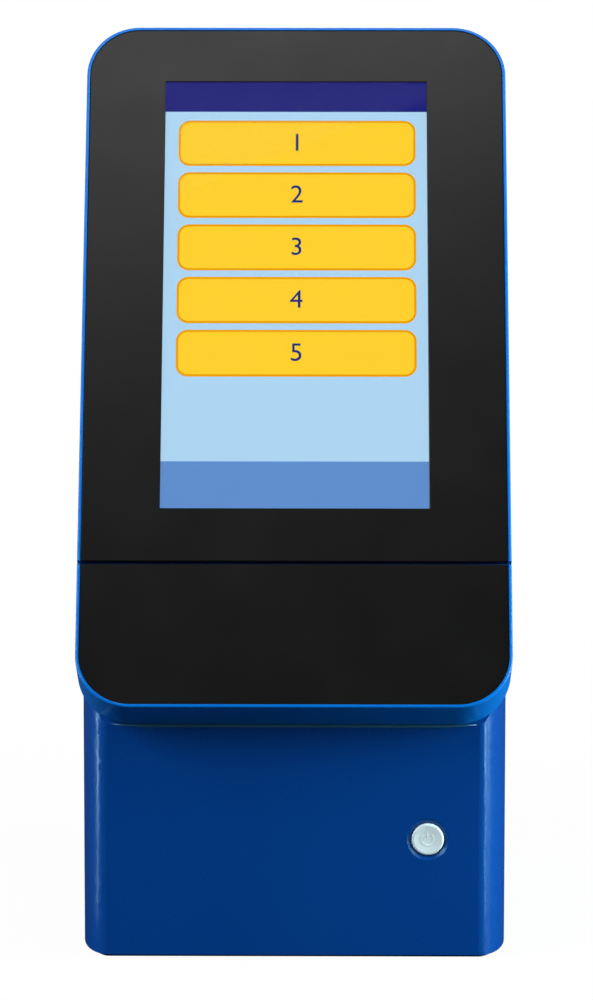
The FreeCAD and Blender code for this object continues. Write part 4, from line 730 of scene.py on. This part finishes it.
def area_lamp(name, bearing, elevation, distance, aim, width, height, power, colour=(1, 1, 1)):
    """A flat lamp that faces its aim, its bearing counted from the front towards the right."""
    lamp = bpy.data.lights.new(name, "AREA")
    lamp.energy = power
    lamp.color = colour
    lamp.shape = "RECTANGLE"
    lamp.size = width
    lamp.size_y = height
    thing = bpy.data.objects.new(name, lamp)
    bpy.context.scene.collection.objects.link(thing)
    turn = math.radians(bearing)
    rise = math.radians(elevation)
    away = Vector((math.cos(rise) * math.sin(turn), -math.cos(rise) * math.cos(turn),
                   math.sin(rise)))
    thing.location = Vector(aim) + distance * away
    thing.rotation_euler = (-away).to_track_quat("-Z", "Y").to_euler()
    return thing


def floor_strip(name, corner, bearing, start, end, width, power, colour):
    """A lamp flat on the floor, from near a corner outwards, for the foot of its highlight."""
    reach = (start + end) / 2
    above_floor = 0.001
    strip = area_lamp(name, bearing, 0, reach, (corner[0], corner[1], above_floor), width,
                      end - start, power, colour)
    strip.rotation_euler = (math.pi, 0, math.radians(bearing))


def make_lamps():
    """A soft light on each side, one close overhead, and strips that line the front corners."""
    middle = (0.0, -0.05, 0.15)
    upper = (0.0, -0.05, 0.20)
    right_corner = (0.07, -0.078, 0.05)
    left_corner = (-0.07, -0.070, 0.05)
    area_lamp("overhead lamp", bearing=25, elevation=70, distance=0.70, aim=upper,
              width=0.70, height=0.20, power=1.8)
    area_lamp("right lamp", bearing=85, elevation=5, distance=1.30, aim=middle,
              width=0.22, height=0.70, power=31.0, colour=(0.85, 1.0, 0.9))
    area_lamp("front lamp", bearing=60, elevation=27, distance=1.50, aim=middle,
              width=0.90, height=0.90, power=11.0)
    area_lamp("left lamp", bearing=-60, elevation=27, distance=1.50, aim=middle,
              width=0.90, height=0.90, power=26.0)
    area_lamp("right strip", bearing=62, elevation=11, distance=0.255, aim=right_corner,
              width=0.02, height=0.20, power=0.34, colour=(0.85, 1.0, 0.95))
    area_lamp("left strip", bearing=-100, elevation=11, distance=0.255, aim=left_corner,
              width=0.02, height=0.20, power=0.19, colour=(0.75, 1.0, 1.0))
    floor_strip("right floor strip", right_corner, bearing=62, start=0.07, end=0.36,
                width=0.018, power=0.09, colour=(0.75, 1.0, 0.95))
    floor_strip("left floor strip", left_corner, bearing=-100, start=0.07, end=0.36,
                width=0.018, power=0.05, colour=(0.75, 1.0, 1.0))
    area_lamp("back lamp", bearing=180, elevation=25, distance=1.77, aim=middle,
              width=0.90, height=0.60, power=10.0)


def bounced(owner, path):
    """One for a ray that comes off gloss or through glass."""
    return combine(owner, "MAXIMUM", path.outputs["Is Glossy Ray"],
                   path.outputs["Is Transmission Ray"])


def backdrop(world, colour, strength=1.0):
    """A plain light from all round."""
    shader = node(world, "ShaderNodeBackground")
    shader.inputs["Color"].default_value = (*colour, 1)
    shader.inputs["Strength"].default_value = strength
    return shader


def choose(world, factor, first, second):
    """The first shader where the factor is nought, the second where it is one."""
    mix = node(world, "ShaderNodeMixShader")
    link(world, factor, mix.inputs["Fac"])
    link(world, first, mix.inputs[1])
    link(world, second, mix.inputs[2])
    return mix.outputs["Shader"]


def make_world():
    """White behind the machine, dim towards the camera's side, white wherever the camera looks."""
    world = bpy.data.worlds.new("studio")
    bpy.context.scene.world = world
    world.use_nodes = True
    world.node_tree.nodes.clear()
    where = node(world, "ShaderNodeTexCoord")
    split = node(world, "ShaderNodeSeparateXYZ")
    link(world, where.outputs["Generated"], split.inputs["Vector"])
    room = backdrop(world, (1, 1, 1))
    link(world, spread(world, split.outputs["Y"], 0.02, 1.0, 0.70, 0.97), room.inputs["Strength"])
    ambient = backdrop(world, (0.95, 0.97, 1), 0.025)
    seen = backdrop(world, (1, 1, 1))
    path = node(world, "ShaderNodeLightPath")
    unseen = choose(world, bounced(world, path), ambient.outputs["Background"],
                    room.outputs["Background"])
    whole = choose(world, path.outputs["Is Camera Ray"], unseen, seen.outputs["Background"])
    output = node(world, "ShaderNodeOutputWorld")
    link(world, whole, output.inputs["Surface"])


def make_floor():
    """A floor that looks white, mirrors dimly and takes the machine's shadow."""
    stage = bpy.context.scene.analyzer_stage
    colour = tuple(stage.floor)
    material, shader = plain("studio floor", colour, 0.9, specular=0.0)
    tint(material, shader, noise(material, 3.0, 2.0), shade(colour, 0.99), shade(colour, 1.01))
    path = node(material, "ShaderNodeLightPath")
    split = node(material, "ShaderNodeSeparateXYZ")
    link(material, place_of(material), split.inputs["Vector"])
    behind = spread(material, split.outputs["Y"], 0.0, 0.8, 0.4, 2.0)
    away = node(material, "ShaderNodeVectorMath", operation="LENGTH")
    link(material, place_of(material), away.inputs[0])
    clean = spread(material, away.outputs["Value"], 0.968, 1.0, 0.2, 1.0)
    mirrored = combine(material, "MULTIPLY", bounced(material, path), behind)
    direct = combine(material, "MULTIPLY", path.outputs["Is Camera Ray"], clean)
    shader.inputs["Emission Color"].default_value = (1, 1, 1, 1)
    link(material, combine(material, "MAXIMUM", direct, mirrored),
         shader.inputs["Emission Strength"])
    form = bmesh.new()
    corners = ((-1, -1), (1, -1), (1, 1), (-1, 1))
    form.faces.new([form.verts.new((FLOOR_HALF * x, FLOOR_HALF * y, 0)) for x, y in corners])
    mesh = bpy.data.meshes.new("floor")
    form.to_mesh(mesh)
    form.free()
    mesh.materials.append(material)
    floor = bpy.data.objects.new("floor", mesh)
    bpy.context.scene.collection.objects.link(floor)


def make_camera():
    """The camera of the photograph, with its lens counted on a 36 mm high picture."""
    stage = bpy.context.scene.analyzer_stage
    lens = bpy.data.cameras.new("camera")
    lens.sensor_fit = "VERTICAL"
    lens.sensor_height = 36.0
    lens.lens = stage.lens
    lens.clip_start = 0.05
    lens.clip_end = 30.0
    camera = bpy.data.objects.new("camera", lens)
    bpy.context.scene.collection.objects.link(camera)
    turn = (Matrix.Rotation(-stage.yaw, 4, "Z")
            @ Matrix.Rotation(math.pi / 2 - stage.pitch, 4, "X")
            @ Matrix.Rotation(stage.roll, 4, "Z"))
    camera.matrix_world = Matrix.Translation((stage.aside, -stage.distance, stage.height)) @ turn
    bpy.context.scene.camera = camera


class ANALYZER_OT_stage(bpy.types.Operator):
    """Set up the floor, the lamps and the camera"""
    bl_idname = "analyzer.stage"
    bl_label = "Stage"

    def execute(self, context):
        make_world()
        make_floor()
        make_camera()
        make_lamps()
        context.scene.view_settings.view_transform = "Standard"
        return {"FINISHED"}


OPERATORS = (
    ANALYZER_OT_housing, ANALYZER_OT_head, ANALYZER_OT_display, ANALYZER_OT_drawer,
    ANALYZER_OT_button, ANALYZER_OT_chassis, ANALYZER_OT_spindle, ANALYZER_OT_electronics,
    ANALYZER_OT_printer, ANALYZER_OT_stage,
)


class ANALYZER_PT_pieces(bpy.types.Panel):
    """Buttons that build each part of the scene, and its settings"""
    bl_idname = "ANALYZER_PT_pieces"
    bl_label = "Analyzer"
    bl_space_type = "VIEW_3D"
    bl_region_type = "UI"
    bl_category = "Analyzer"

    def draw(self, context):
        for operator in OPERATORS:
            self.layout.operator(operator.bl_idname)
        for group in (context.scene.analyzer_housing, context.scene.analyzer_screen,
                      context.scene.analyzer_stage):
            for name in group.__annotations__:
                self.layout.prop(group, name)


CLASSES = (HousingSettings, ScreenSettings, StageSettings, *OPERATORS, ANALYZER_PT_pieces)


def register():
    for item in CLASSES:
        bpy.utils.register_class(item)
    bpy.types.Scene.analyzer_housing = bpy.props.PointerProperty(type=HousingSettings)
    bpy.types.Scene.analyzer_screen = bpy.props.PointerProperty(type=ScreenSettings)
    bpy.types.Scene.analyzer_stage = bpy.props.PointerProperty(type=StageSettings)


def unregister():
    del bpy.types.Scene.analyzer_housing
    del bpy.types.Scene.analyzer_screen
    del bpy.types.Scene.analyzer_stage
    for item in reversed(CLASSES):
        bpy.utils.unregister_class(item)


def main():
    register()
    MATERIALS.update(make_materials())
    for operator in OPERATORS:
        group, name = operator.bl_idname.split(".")
        getattr(getattr(bpy.ops, group), name)()
    bpy.context.view_layer.update()


if __name__ == "__main__":
    main()
